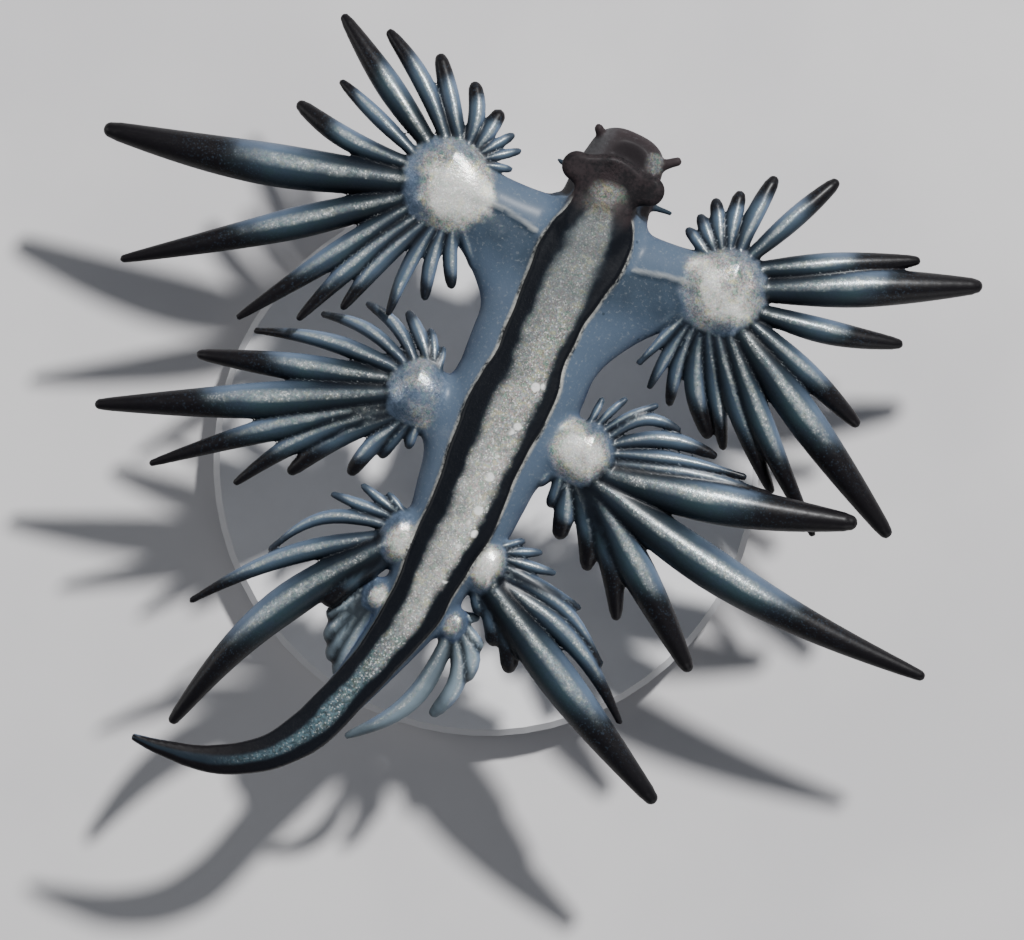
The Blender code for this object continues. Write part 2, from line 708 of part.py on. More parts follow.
def make_arms():
    """Each arm with its cerata, cut clear of the trunk that it grows from."""
    for number, arm in enumerate(ARMS):
        limb = add_solid(arm.name, arm_shape(arm))
        cerata = [
            add_solid(f"ceras_{k}", ceras_tube(arm, ceras))
            for k, ceras in enumerate(spread(arm, seed=number + 1))
        ]
        apply_boolean(limb, "UNION", cerata)
        body = add_solid("clear_of_body", body_shape(0, len(STATIONS) - 1, ARM_CLEARANCE))
        apply_boolean(limb, "DIFFERENCE", [body])
        keep_largest(limb)
        dress(limb)


def underside(y):
    """The place along the stations, the middle and the height of the belly's lowest line at a given Y."""
    places = np.linspace(0, len(STATIONS) - 1, 400)
    rows = [smooth_between(STATION_ROWS, place) for place in places]
    nearest = min(rows, key=lambda row: abs(row[1] - y))
    return nearest[0], nearest[5] - nearest[4]


def disc(middle, radius, z, sides):
    """A level ring of points round a middle."""
    turns = [2 * math.pi * k / sides for k in range(sides)]
    return [(middle[0] + radius * math.cos(a), middle[1] + radius * math.sin(a), z) for a in turns]


def make_stand():
    """A flat round base, and two rods that end just under the body."""
    edge = BASE_RADIUS - BASE_BEVEL
    levels = ((BASE_RADIUS, 0.0), (BASE_RADIUS, BASE_HEIGHT - BASE_BEVEL), (edge, BASE_HEIGHT))
    rings = [disc((0.0, 0.0), radius, z, BASE_SIDES) for radius, z in levels]
    dress(add_solid("stand_base", loft(rings)))
    for name, y in ROD_PLACES.items():
        x, belly = underside(y)
        middle = (x + SLUG_AT[0], y + SLUG_AT[1])
        ends = (BASE_HEIGHT + GAP, belly - GAP)
        rings = [disc(middle, ROD_RADIUS, z, ROD_SIDES) for z in ends]
        dress(add_solid(name, loft(rings)))


def gather_slug():
    """Hangs the animal's nodes on one empty, which centres it over the stand."""
    slug = bpy.data.objects.new("slug", None)
    bpy.context.scene.collection.objects.link(slug)
    slug.location = (MM * SLUG_AT[0], MM * SLUG_AT[1], 0.0)
    for obj in bpy.data.objects:
        if obj is not slug and not obj.name.startswith("stand"):
            obj.parent = slug


def main():
    clear_scene()
    make_body()
    make_head()
    make_arms()
    make_stand()
    gather_slug()


main()
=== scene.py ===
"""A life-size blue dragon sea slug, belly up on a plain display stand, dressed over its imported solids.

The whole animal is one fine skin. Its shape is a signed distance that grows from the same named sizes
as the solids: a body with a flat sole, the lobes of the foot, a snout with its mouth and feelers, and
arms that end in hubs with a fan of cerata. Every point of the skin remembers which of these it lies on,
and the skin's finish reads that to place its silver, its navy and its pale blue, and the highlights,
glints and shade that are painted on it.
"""

import itertools
import logging
import math
from dataclasses import astuple, dataclass
from enum import Enum
from typing import Iterator, Sequence

import bpy
import numpy as np
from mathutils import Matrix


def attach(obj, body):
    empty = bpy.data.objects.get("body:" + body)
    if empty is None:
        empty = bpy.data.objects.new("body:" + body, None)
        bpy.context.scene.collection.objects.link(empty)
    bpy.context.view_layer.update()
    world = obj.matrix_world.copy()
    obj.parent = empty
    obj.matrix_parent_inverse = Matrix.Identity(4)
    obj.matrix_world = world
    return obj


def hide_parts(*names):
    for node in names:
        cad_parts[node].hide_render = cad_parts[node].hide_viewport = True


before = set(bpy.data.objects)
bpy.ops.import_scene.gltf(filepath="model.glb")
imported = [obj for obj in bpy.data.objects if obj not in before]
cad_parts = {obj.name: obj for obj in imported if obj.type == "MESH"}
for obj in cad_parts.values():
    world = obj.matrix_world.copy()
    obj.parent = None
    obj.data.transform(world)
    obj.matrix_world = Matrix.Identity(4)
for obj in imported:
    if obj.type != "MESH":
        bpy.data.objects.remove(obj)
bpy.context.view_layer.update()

LOG = logging.getLogger("blue_dragon")
MM = 0.001
# Where the animal's own origin lies over the middle of the stand, in millimetres as all sizes here.
SLUG_AT = np.array((0.0, 0.15, 0.0))
# The level way that the light comes from, over the head.
SUNWARD = np.array((0.16, 0.987))


@dataclass(frozen=True)
class Station:
    """One cross-section of the body: its middle, half widths, depth below the sole and height of the sole."""

    x: float
    y: float
    foot: float
    flank: float
    depth: float
    top: float


STATIONS = (
    Station(-0.30, 13.10, 1.40, 2.15, 3.50, 11.40),
    Station(-0.10, 11.90, 1.93, 2.45, 3.95, 11.51),
    Station(-0.18, 10.50, 2.07, 2.70, 4.30, 11.60),
    Station(-0.24, 9.20, 1.91, 2.85, 4.50, 11.65),
    Station(-0.33, 7.90, 1.72, 2.96, 4.62, 11.68),
    Station(-0.30, 6.20, 1.67, 3.05, 4.70, 11.70),
    Station(-0.20, 5.10, 1.66, 3.08, 4.70, 11.71),
    Station(-0.12, 3.90, 1.85, 3.07, 4.70, 11.71),
    Station(-0.24, 2.30, 1.92, 3.00, 4.60, 11.70),
    Station(-0.17, 0.20, 1.76, 2.86, 4.46, 11.67),
    Station(-0.04, -1.60, 1.67, 2.65, 4.25, 11.62),
    Station(0.04, -3.10, 1.70, 2.45, 4.00, 11.55),
    Station(-0.05, -5.20, 1.52, 2.10, 3.60, 11.40),
    Station(-0.08, -6.50, 1.38, 1.87, 3.30, 11.28),
    Station(-0.14, -8.10, 1.35, 1.58, 2.94, 11.12),
    Station(-0.60, -10.40, 1.07, 1.24, 2.50, 10.91),
    Station(-1.27, -12.75, 1.02, 1.03, 2.15, 10.73),
    Station(-2.08, -15.03, 1.02, 0.93, 1.87, 10.58),
    Station(-3.53, -17.04, 0.83, 0.77, 1.57, 10.44),
    Station(-5.67, -18.34, 0.66, 0.57, 1.23, 10.26),
    Station(-7.99, -18.87, 0.36, 0.35, 0.78, 10.09),
    Station(-9.55, -19.00, 0.12, 0.12, 0.30, 9.95),
)


@dataclass(frozen=True)
class Ceras:
    """One ceras of a hub: bearings of root and tip in degrees, reach from the hub, girth, bow and droop."""

    root: float
    tip: float
    reach: float
    girth: float
    bow: float = 0.0
    drop: float = 1.0


@dataclass(frozen=True)
class Run:
    """A run of small cerata that change evenly from the first to the last."""

    count: int
    first: Ceras
    last: Ceras


@dataclass(frozen=True)
class Arm:
    """An arm: a web from the flank out to a hub, and the cerata round the hub's rim.

    flare says how much wider the web grows at the body, toward the head and toward the tail. crest is
    the pale fold along the web, as two plan points outward and toward the head.
    """

    name: str
    side: int
    hub: tuple[float, float]
    radii: tuple[float, float]
    root_y: float
    root_half: float
    top: float
    thick: float
    flare: tuple[float, float]
    crest: tuple[tuple[float, float], ...]
    cerata: tuple[Ceras | Run, ...]


ARMS = (
    Arm("arm_front_left", -1, (7.55, 11.0), (2.05, 2.15), 9.9, 3.0, 11.2, 2.7, (1.15, 2.1),
        ((5.9, 10.95), (4.4, 11.12), (2.6, 10.8)), (
        Run(3, Ceras(134, 145, 3.3, 0.36, drop=0.4), Ceras(119, 121, 4.2, 0.46, drop=0.5)),
        Ceras(112, 104, 4.3, 0.76, drop=0.6),
        Ceras(99, 82, 4.9, 0.76, 0.25, 0.6),
        Ceras(86, 63, 6.0, 0.85, 0.0, 0.8),
        Ceras(66, 44.5, 7.6, 0.90, 0.28, 1.0),
        Ceras(41, 33.5, 9.2, 1.23, -0.05, 1.3),
        Ceras(18, 19, 6.8, 0.72, 0.0, 1.2),
        Ceras(0, 3, 7.8, 1.00, -0.35, 1.6),
        Ceras(-23, -16.5, 16.2, 1.95, -0.33, 1.9),
        Ceras(-46, -39, 15.7, 1.46, -0.1, 1.7),
        Ceras(-61, -59, 11.7, 1.10, 0.0, 0.7),
        Ceras(-77, -69, 9.5, 0.94, 0.2, 0.4),
        Ceras(-91, -77, 7.7, 0.82, 0.2, 0.3),
        Run(3, Ceras(-104, -93, 6.5, 0.66, 0.2, 0.4), Ceras(-129, -120, 5.1, 0.64, 0.1, 0.7)),
        Run(3, Ceras(-140, -135, 4.1, 0.40, 0.0, 0.6), Ceras(-156, -157, 3.0, 0.34, 0.0, 0.4)),
    )),
    Arm("arm_front_right", 1, (6.85, 12.05), (1.85, 2.05), 10.1, 2.8, 11.2, 2.7, (1.15, 2.1),
        ((5.3, 11.7), (3.9, 11.5), (2.4, 11.1)), (
        Run(3, Ceras(146, 148, 3.7, 0.52, drop=0.4), Ceras(127, 123, 4.3, 0.66, drop=0.5)),
        Ceras(116, 108, 4.8, 0.71, 0.1, 0.6),
        Ceras(101, 93, 5.9, 0.80, 0.1, 0.7),
        Ceras(82, 71, 7.4, 0.94, 0.0, 0.9),
        Ceras(56, 35, 9.2, 1.18, 0.0, 1.2),
        Ceras(27, 27, 12.0, 1.75, 0.0, 1.5),
        Ceras(-5, 9, 8.6, 1.15, -0.2, 1.5),
        Ceras(-25, -20, 8.8, 1.09, 0.1, 1.7),
        Ceras(-43, -31, 13.8, 1.65, 0.0, 2.0),
        Ceras(-61, -45, 12.2, 1.18, -0.2, 2.6),
        Ceras(-79, -52, 9.7, 1.04, -0.2, 2.5),
        Ceras(-93, -66, 7.4, 0.85, 0.0, 2.4),
        Ceras(-104, -72, 6.9, 0.95, -0.5, 2.1),
        Run(3, Ceras(-115, -92, 6.3, 0.70, -0.2, 1.9), Ceras(-131, -116, 5.3, 0.47, 0.0, 0.9)),
        Run(2, Ceras(-140, -129, 4.5, 0.38, 0.0, 0.6), Ceras(-150, -144, 3.6, 0.32, 0.0, 0.4)),
    )),
    Arm("arm_middle_left", -1, (4.55, 1.50), (1.35, 1.50), 0.9, 3.1, 11.0, 2.5, (1.1, 1.4), (), (
        Run(3, Ceras(120, 99, 2.6, 0.32, drop=0.5), Ceras(92, 60, 3.6, 0.57, 0.1, 0.9)),
        Ceras(62, 36, 4.7, 0.57, 0.35, 2.0),
        Ceras(42, 14, 5.7, 0.61, 0.45, 2.3),
        Ceras(22, -5, 8.1, 0.80, 0.40, 2.4),
        Ceras(-2, -16, 10.4, 1.23, 0.0, 2.0),
        Ceras(-30, -28, 15.1, 1.60, -0.1, 1.9),
        Ceras(-50, -41, 13.0, 1.18, 0.2, 1.6),
        Ceras(-65, -53, 9.6, 0.99, 0.55, 1.2),
        Ceras(-80, -59, 7.1, 0.94, 0.40, 1.0),
        Ceras(-97, -78, 5.0, 0.76, 0.20, 0.9),
        Run(3, Ceras(-112, -89, 3.5, 0.57, 0.1, 0.8), Ceras(-140, -130, 2.3, 0.40, 0.0, 0.4)),
    )),
    Arm("arm_middle_right", 1, (4.05, 2.30), (1.45, 1.45), 1.5, 3.0, 11.1, 2.5, (1.1, 1.4), (), (
        Run(3, Ceras(108, 98, 2.6, 0.32, drop=0.2), Ceras(76, 59, 3.9, 0.40, 0.1, 0.3)),
        Ceras(60, 39, 4.6, 0.55, 0.66, 0.3),
        Ceras(43, 24, 6.2, 0.74, 0.50, 0.4),
        Ceras(24, 17, 7.7, 0.66, 0.20, 0.4),
        Ceras(5, 13, 8.9, 0.70, 0.20, 0.5),
        Ceras(-20, 11, 13.2, 1.90, -0.30, 0.7),
        Ceras(-48, -8, 19.2, 1.85, -0.75, 1.7),
        Ceras(-61, -39, 11.4, 1.55, 0.1, 1.9),
        Ceras(-73, -54, 8.0, 1.13, 0.45, 1.5),
        Ceras(-86, -64, 5.5, 1.04, 0.35, 1.1),
        Ceras(-102, -82, 4.2, 0.92, 0.10, 0.8),
        Run(2, Ceras(-119, -99, 3.2, 0.57, 0.1, 0.6), Ceras(-136, -119, 2.6, 0.40, 0.0, 0.4)),
    )),
    Arm("arm_rear_left", -1, (2.30, -5.05), (0.75, 1.10), -5.1, 1.55, 10.9, 1.9, (1.1, 1.3), (), (
        Run(3, Ceras(82, 52, 2.0, 0.32, drop=0.2), Ceras(40, 7, 3.7, 0.47, 0.0, 0.4)),
        Ceras(12, -32, 6.1, 0.57, 0.95, 0.9),
        Ceras(-22, -43, 10.3, 0.85, 0.55, 1.4),
        Ceras(-52, -65, 13.9, 1.50, 0.90, 2.4),
        Ceras(-80, -69, 4.7, 0.94, 0.2, 0.3),
        Ceras(-104, -72, 2.8, 0.76, 0.1, 0.2),
    )),
    Arm("arm_rear_right", 1, (2.20, -4.60), (0.75, 1.10), -4.6, 1.55, 10.9, 1.9, (1.1, 1.3), (), (
        Run(3, Ceras(84, 62, 2.2, 0.32, drop=0.2), Ceras(44, 21, 3.3, 0.42, 0.0, 0.4)),
        Ceras(22, 2, 4.8, 0.57, 0.0, 0.6),
        Ceras(2, -15, 7.1, 0.64, 0.75, 0.8),
        Ceras(-20, -24, 9.7, 0.92, 0.80, 1.2),
        Ceras(-44, -29, 13.6, 1.60, -0.1, 2.0),
        Ceras(-68, -53, 5.0, 0.90, 0.5, 0.9),
        Run(2, Ceras(-86, -60, 3.7, 0.74, 0.25, 0.6), Ceras(-104, -74, 2.1, 0.50, 0.0, 0.3)),
    )),
    Arm("arm_last_left", -1, (2.05, -7.95), (0.50, 0.60), -7.9, 0.80, 10.1, 1.3, (1.0, 1.0), (), (
        Ceras(34, 2, 1.35, 0.54, 0.0, 0.2),
        Ceras(0, -30, 1.9, 0.62, 0.0, 0.3),
        Ceras(-30, -53, 2.5, 0.80, 0.1, 0.4),
        Ceras(-56, -70, 3.2, 0.86, 0.2, 0.7),
        Ceras(-74, -81, 3.8, 0.86, 0.2, 0.9),
        Ceras(-94, -90, 4.3, 0.80, 0.2, 1.1),
    )),
    Arm("arm_last_right", 1, (1.95, -7.70), (0.50, 0.60), -7.7, 0.80, 10.1, 1.3, (1.0, 1.0), (), (
        Run(2, Ceras(60, 43, 1.2, 0.42, drop=0.1), Ceras(20, -17, 1.6, 0.54, 0.0, 0.2)),
        Ceras(-20, -55, 2.65, 0.80, 0.4, 0.5),
        Ceras(-60, -79, 4.4, 0.78, 0.7, 1.0),
        Ceras(-92, -109, 7.4, 0.88, 0.95, 1.9),
    )),
)

# How dark the tips are on each pair of arms, and how much wider than its girth a ceras swells.
# The same low tip darkness lightens the last arms' cerata as painted light.
TIP_DARK = {"front": 1.0, "middle": 0.85, "rear": 0.8, "last": 0.3}
PLUMP = {"front": 1.06, "middle": 1.10, "rear": 1.20, "last": 1.10}
# How far the silver of a hub lies toward the body, as a share of the hub, on each side, and how bright
# it is where that isn't 1; its brightest part is a painted highlight.
HUB_SHIFT = {-1: 0.34, 1: 0.06}
HUB_LIT = {"arm_middle_left": 0.55, "arm_front_right": 0.92, "arm_middle_right": 1.2}


def ease(value: np.ndarray, low: float, high: float) -> np.ndarray:
    """A smooth step from 0 at low to 1 at high.

    Args:
        value: The numbers to step.
        low: Where the step starts. It may be the larger of the two.
        high: Where the step ends.

    Returns:
        Numbers from 0 to 1.
    """
    t = np.clip((value - low) / (high - low), 0.0, 1.0)
    return t * t * (3 - 2 * t)


def blend_min(a: np.ndarray, b: np.ndarray, soft: float) -> np.ndarray:
    """Joins two distances with a fillet of about the given width."""
    near = np.maximum(soft - np.abs(a - b), 0.0) / soft
    return np.minimum(a, b) - near * near * soft * 0.25


def extrude(plan: np.ndarray, rise: np.ndarray, half: float, edge: float) -> np.ndarray:
    """The distance to a flat plate with a rounded edge.

    Args:
        plan: Distance to the plate's outline in its plane.
        rise: Height above the middle of its thickness.
        half: Half its thickness.
        edge: Radius of its edge.

    Returns:
        Signed distances.
    """
    out = plan + edge
    up = np.abs(rise) - (half - edge)
    outside = np.hypot(np.maximum(out, 0), np.maximum(up, 0))
    return outside + np.minimum(np.maximum(out, up), 0) - edge


def oval(a: np.ndarray, b: np.ndarray, half_a: np.ndarray, half_b: np.ndarray) -> np.ndarray:
    """The distance in a section to an ellipse with the given half widths."""
    k0 = np.hypot(a / half_a, b / half_b)
    k1 = np.hypot(a / half_a**2, b / half_b**2)
    return k0 * (k0 - 1) / np.maximum(k1, 1e-6)


def lump(points: np.ndarray, middle: Sequence[float], radii: Sequence[float], power: float) -> np.ndarray:
    """The distance to a rounded lump.

    Args:
        points: The points, as rows.
        middle: The lump's middle.
        radii: Its half sizes.
        power: 2 for an ellipsoid, and more for a squarer lump.

    Returns:
        Signed distances.
    """
    radii = np.asarray(radii)
    share = np.maximum(np.abs(points - np.asarray(middle)) / radii, 1e-4)
    size = (share**power).sum(-1) ** (1 / power)
    slope = size[..., None] ** (1 - power) * share ** (power - 1) / radii
    return (size - 1) / np.linalg.norm(slope, axis=-1)


class Chain:
    """A smooth row of round beads: the shape of a ceras, a feeler or a fold."""

    def __init__(self, points: Sequence[Sequence[float]], radii: Sequence[float]) -> None:
        """Strings the beads.

        Args:
            points: Their middles, in space or in plan.
            radii: Their radii.
        """
        self.points = np.asarray(points, float)
        self.radii = np.asarray(radii, float)
        steps = np.linalg.norm(np.diff(self.points, axis=0), axis=1)
        self.run = np.concatenate([[0.0], np.cumsum(steps)])

    def box(self, margin: float) -> tuple[np.ndarray, np.ndarray]:
        """The lowest and highest corners of the chain with a margin round it."""
        reach = self.radii[:, None] + margin
        return (self.points - reach).min(0), (self.points + reach).max(0)

    def links(self) -> Iterator["Chain"]:
        """The chain's links, one by one."""
        for k in range(len(self.points) - 1):
            yield Chain(self.points[k:k + 2], self.radii[k:k + 2])

    def measure(self, points: np.ndarray) -> tuple[np.ndarray, np.ndarray, np.ndarray]:
        """Measures points against the chain.

        Args:
            points: The points, as rows.

        Returns:
            Their signed distances, how far along the chain they lie, and their nearest middle points.
        """
        best = np.full(len(points), 1e9)
        along = np.zeros(len(points))
        near = np.zeros((len(points), self.points.shape[1]))
        for k in range(len(self.points) - 1):
            a, b = self.points[k], self.points[k + 1]
            reach = b - a
            t = np.clip((points - a) @ reach / (reach @ reach), 0.0, 1.0)
            foot = a + t[:, None] * reach
            radius = self.radii[k] + t * (self.radii[k + 1] - self.radii[k])
            distance = np.linalg.norm(points - foot, axis=1) - radius
            closer = distance < best
            best[closer] = distance[closer]
            along[closer] = (self.run[k] + t * (self.run[k + 1] - self.run[k]))[closer]
            near[closer] = foot[closer]
        return best, along, near


@dataclass(eq=False)
class BodyLine:
    """The curved midline of trunk and tail, with its sizes at every place."""

    stations: tuple[Station, ...]
    samples: int = 900

    def __post_init__(self) -> None:
        """Reads the stations on a smooth curve, many times between each two."""
        rows = np.array([astuple(station) for station in self.stations])
        places = np.linspace(0, len(rows) - 1, self.samples)
        self.rows = np.array([self._between(rows, place) for place in places])
        step = np.gradient(self.rows[:, :2], axis=0)
        pace = np.linalg.norm(step, axis=1)
        self.along = step / pace[:, None]
        self.run = np.concatenate([[0.0], np.cumsum(0.5 * (pace[1:] + pace[:-1]))])

    @staticmethod
    def _between(rows: np.ndarray, place: float) -> np.ndarray:
        """Reads between rows on a smooth curve through them all.

        Args:
            rows: The rows.
            place: Where to read, counted in rows.

        Returns:
            The row there.
        """
        i = min(int(place), len(rows) - 2)
        t = place - i
        slope_in = (rows[i + 1] - rows[max(i - 1, 0)]) / (2 if i else 1)
        slope_out = (rows[min(i + 2, len(rows) - 1)] - rows[i]) / (2 if i < len(rows) - 2 else 1)
        a, b = t * t * (3 - 2 * t), t * (1 - t)
        return rows[i] * (1 - a) + rows[i + 1] * a + b * (1 - t) * slope_in - b * t * slope_out

    def locate(self, plan: np.ndarray) -> tuple[np.ndarray, np.ndarray, np.ndarray, np.ndarray]:
        """Places plan points along the body.

        Args:
            plan: Points seen from above, as rows.

        Returns:
            The run along the midline, the way out to its right, how far a point lies past either end,
            and the body's sizes there.
        """
        index = np.empty(len(plan), int)
        middle = self.rows[:, :2]
        for start in range(0, len(plan), 8000):
            part = plan[start:start + 8000]
            gap = (part**2).sum(1)[:, None] - 2 * part @ middle.T + (middle**2).sum(1)[None]
            index[start:start + 8000] = gap.argmin(1)
        offset = plan - middle[index]
        along = self.along[index]
        ahead = (offset * along).sum(1)
        lateral = offset[:, 1] * along[:, 0] - offset[:, 0] * along[:, 1]
        run = self.run[index] + ahead
        beyond = np.maximum(np.maximum(-run, run - self.run[-1]), 0.0)
        sizes = self.rows[index]
        return run, lateral, beyond, sizes


def ceras_width(t: np.ndarray, slim: float) -> np.ndarray:
    """How wide a ceras is along its length, as a share of its girth.

    Args:
        t: Places along it, from 0 at the root to 1 at the tip.
        slim: 0 for a short plump ceras with a blunt end, 1 for a long tapering one.

    Returns:
        The widths.
    """
    root_width, belly = 0.62 + 0.06 * slim, 0.56 - 0.18 * slim
    tip_width, taper = 0.70 - 0.44 * slim, 2.4 - 1.15 * slim
    swell = root_width + (1 - root_width) * np.sin(0.5 * math.pi * np.clip(t / belly, 0, 1))
    narrow = 1 - (1 - tip_width) * np.clip((t - belly) / (1 - belly), 0, 1) ** taper
    return np.where(t < belly, swell, narrow)


def ramp(value: float, start: float, width: float, most: float = 1.0) -> float:
    """A number that grows from 0 at start, by 1 over the given width, and stops at most."""
    return min(max((value - start) / width, 0.0), most)


@dataclass(eq=False)
class CerasShape:
    """The fine shape of one ceras, and the frame round it that its markings follow."""

    arm: Arm
    ceras: Ceras
    # How far the root runs into the hub, at most and as a share of the hub, and how far it rises there.
    sink: float = 1.35
    sink_share: float = 0.75
    root_rise: float = 0.10
    # How far the middle lies under the hub's top: a share of the hub, but half a girth and this at most.
    level_share: float = 0.42
    under_top: float = 0.42
    droop: float = 1.4
    # The least radius, and how much further than its radius the tip's bead lies back.
    blunt: float = 0.165
    tip_back: float = 0.8

    def __post_init__(self) -> None:
        """Works out the beads of the ceras from its table row."""
        arm, ceras = self.arm, self.ceras
        hub = np.array(arm.hub)
        root_turn, tip_turn = math.radians(ceras.root), math.radians(ceras.tip)
        rim = np.array((arm.radii[0] * math.cos(root_turn), arm.radii[1] * math.sin(root_turn)))
        root = hub + rim
        tip = hub + ceras.reach * np.array((math.cos(tip_turn), math.sin(tip_turn)))
        self.length = float(np.linalg.norm(tip - root))
        along = (tip - root) / self.length
        bend = np.array((-along[1], along[0]))
        level = arm.top - min(self.level_share * arm.thick, 0.5 * ceras.girth + self.under_top)
        inward = rim / np.linalg.norm(rim)
        sink = min(self.sink, self.sink_share * float(np.linalg.norm(rim)))
        count = max(6, min(20, round(self.length * 1.6) + 4))
        shares = np.linspace(0, 1, count)
        bow = ceras.bow * np.sin(math.pi * shares)
        plan = root + np.outer(shares * self.length, along) + np.outer(bow, bend)
        height = level - ceras.drop * shares**self.droop
        points = np.column_stack([arm.side * plan[:, 0], plan[:, 1], height])
        start = root - inward * sink
        points = np.vstack([[arm.side * start[0], start[1], level + self.root_rise * arm.thick], points])
        slim = max(ramp(self.length / ceras.girth, 4.0, 5.0), ramp(ceras.girth, 0.85, 0.45, most=0.75))
        pair = arm.name.split("_")[1]
        plump = PLUMP[pair] + 0.10 * ramp(-ceras.girth, -0.9, 0.5)
        radii = 0.5 * plump * ceras.girth * ceras_width(np.concatenate([[0.0], shares]), slim)
        radii = np.maximum(radii, self.blunt)
        self.cap = TIP_DARK[pair]
        self.girth = ceras.girth
        self.sunk = float(np.linalg.norm(points[1] - points[0]))
        final = points[-1] - points[-2]
        points[-1] -= final / np.linalg.norm(final) * radii[-1] * self.tip_back
        self.chain = Chain(points, radii)

    def measure(self, points: np.ndarray) -> tuple[np.ndarray, np.ndarray, np.ndarray, np.ndarray]:
        """Measures points against the ceras.

        Args:
            points: The points, as rows.

        Returns:
            Signed distances, the share of the length, and the sideways and upward shares of the
            radius. Sideways is positive toward the light.
        """
        distance, run, near = self.chain.measure(points)
        share = (run - self.sunk) / (self.chain.run[-1] - self.sunk)
        way = self.chain.points[-1, :2] - self.chain.points[1, :2]
        across = np.array((-way[1], way[0])) / np.linalg.norm(way)
        if across @ SUNWARD < 0:
            across = -across
        offset = points - near
        radius = np.maximum(np.linalg.norm(offset, axis=1), 1e-6)
        return distance, share, offset[:, :2] @ across / radius, offset[:, 2] / radius


def spread(arm: Arm, seed: int) -> Iterator[Ceras]:
    """Gives every ceras of an arm, with the runs worked out one by one.

    Args:
        arm: The arm.
        seed: What the chance in the reach of small cerata starts from.

    Yields:
        The cerata.
    """
    chance = np.random.default_rng(seed)
    for entry in arm.cerata:
        if isinstance(entry, Ceras):
            yield entry
            continue
        for k in range(entry.count):
            t = k / (entry.count - 1)
            values = [a + (b - a) * t for a, b in zip(astuple(entry.first), astuple(entry.last))]
            values[2] *= 1 + 0.06 * chance.uniform(-1, 1)
            yield Ceras(*values)


@dataclass(eq=False)
class ArmShape:
    """The web and hub of one arm, without its cerata."""

    arm: Arm
    root_x: float = 0.6
    # The hub's half thickness and the radius of its edge, as shares of the arm's thickness.
    hub_half: float = 0.46
    hub_edge: float = 0.40
    hub_blend: float = 1.0
    # The web's thickness and its width at the hub as shares, its sag at the body and the pace it widens.
    web_thick: float = 0.92
    waist: float = 0.80
    sag: float = 0.35
    swell: float = 2.2
    # The step down behind the crest, and how far behind it the web is level again.
    fold: float = 0.24
    fold_reach: float = 1.5

    def __post_init__(self) -> None:
        """Works out the arm's line in plan."""
        arm = self.arm
        self.root = np.array((self.root_x, arm.root_y))
        self.hub = np.array(arm.hub)
        self.length = float(np.linalg.norm(self.hub - self.root))
        self.along = (self.hub - self.root) / self.length
        self.across = np.array((-self.along[1], self.along[0]))
        self.crest = Chain(arm.crest, [0.0] * len(arm.crest)) if arm.crest else None

    def box(self, margin: float) -> tuple[np.ndarray, np.ndarray]:
        """The block that the arm fills.

        Args:
            margin: What to leave round it.

        Returns:
            Its lowest and highest corners.
        """
        arm = self.arm
        half = max(arm.root_half * max(arm.flare), arm.radii[1])
        xs = [0.0, arm.hub[0] + arm.radii[0] + margin]
        low_y = min(arm.root_y, arm.hub[1]) - half - margin
        high_y = max(arm.root_y, arm.hub[1]) + half + margin
        xs = sorted(arm.side * x for x in xs)
        return (np.array((xs[0], low_y, arm.top - arm.thick - margin)),
                np.array((xs[1], high_y, arm.top + margin)))

    def plan(self, points: np.ndarray) -> np.ndarray:
        """The points seen from above, outward from the body and toward the head."""
        return np.column_stack([self.arm.side * points[:, 0], points[:, 1]])

    def crest_side(self, plan: np.ndarray) -> tuple[np.ndarray, np.ndarray]:
        """How far plan points lie on the head's side of the crest line, and how far from it at all."""
        distance, _, near = self.crest.measure(plan)
        return (plan - near) @ self.across, distance

    def hub_distance(self, points: np.ndarray) -> np.ndarray:
        """Measures points against the domed hub alone.

        Args:
            points: The points, as rows.

        Returns:
            Signed distances.
        """
        arm = self.arm
        offset = self.plan(points) - self.hub
        middle = arm.top - 0.5 * arm.thick
        rim = oval(offset[:, 0], offset[:, 1], arm.radii[0], arm.radii[1])
        return extrude(rim, points[:, 2] - middle, self.hub_half * arm.thick, self.hub_edge * arm.thick)

    def distance(self, points: np.ndarray) -> np.ndarray:
        """Measures points against web and hub together.

        Args:
            points: The points, as rows.

        Returns:
            Signed distances.
        """
        arm = self.arm
        plan = self.plan(points)
        offset = plan - self.root
        run = offset @ self.along
        lateral = offset @ self.across
        share = np.clip(run / self.length, 0.0, 1.0)
        swell = (1 - share) ** self.swell
        waist = self.waist * arm.radii[1]
        halves = [waist + (arm.root_half * flare - waist) * swell for flare in arm.flare]
        half = np.where(lateral > 0, halves[0], halves[1])
        top = arm.top - self.sag * (1 - share * share * (3 - 2 * share))
        thick = self.web_thick * arm.thick
        rise = points[:, 2] - (top - 0.5 * thick)
        if self.crest is not None:
            ahead, _ = self.crest_side(plan)
            fade = ease(run, 1.2, 2.6) * ease(run, self.length - 0.6, self.length - 1.8)
            step = fade * self.fold * ease(-ahead, -0.08, 0.40)
            rise = rise + step * np.exp(-np.maximum(-ahead, 0) / self.fold_reach)
        web = oval(lateral, rise, half, np.full_like(half, 0.5 * thick))
        web = np.maximum(web, run - self.length)
        return blend_min(web, self.hub_distance(points), self.hub_blend)


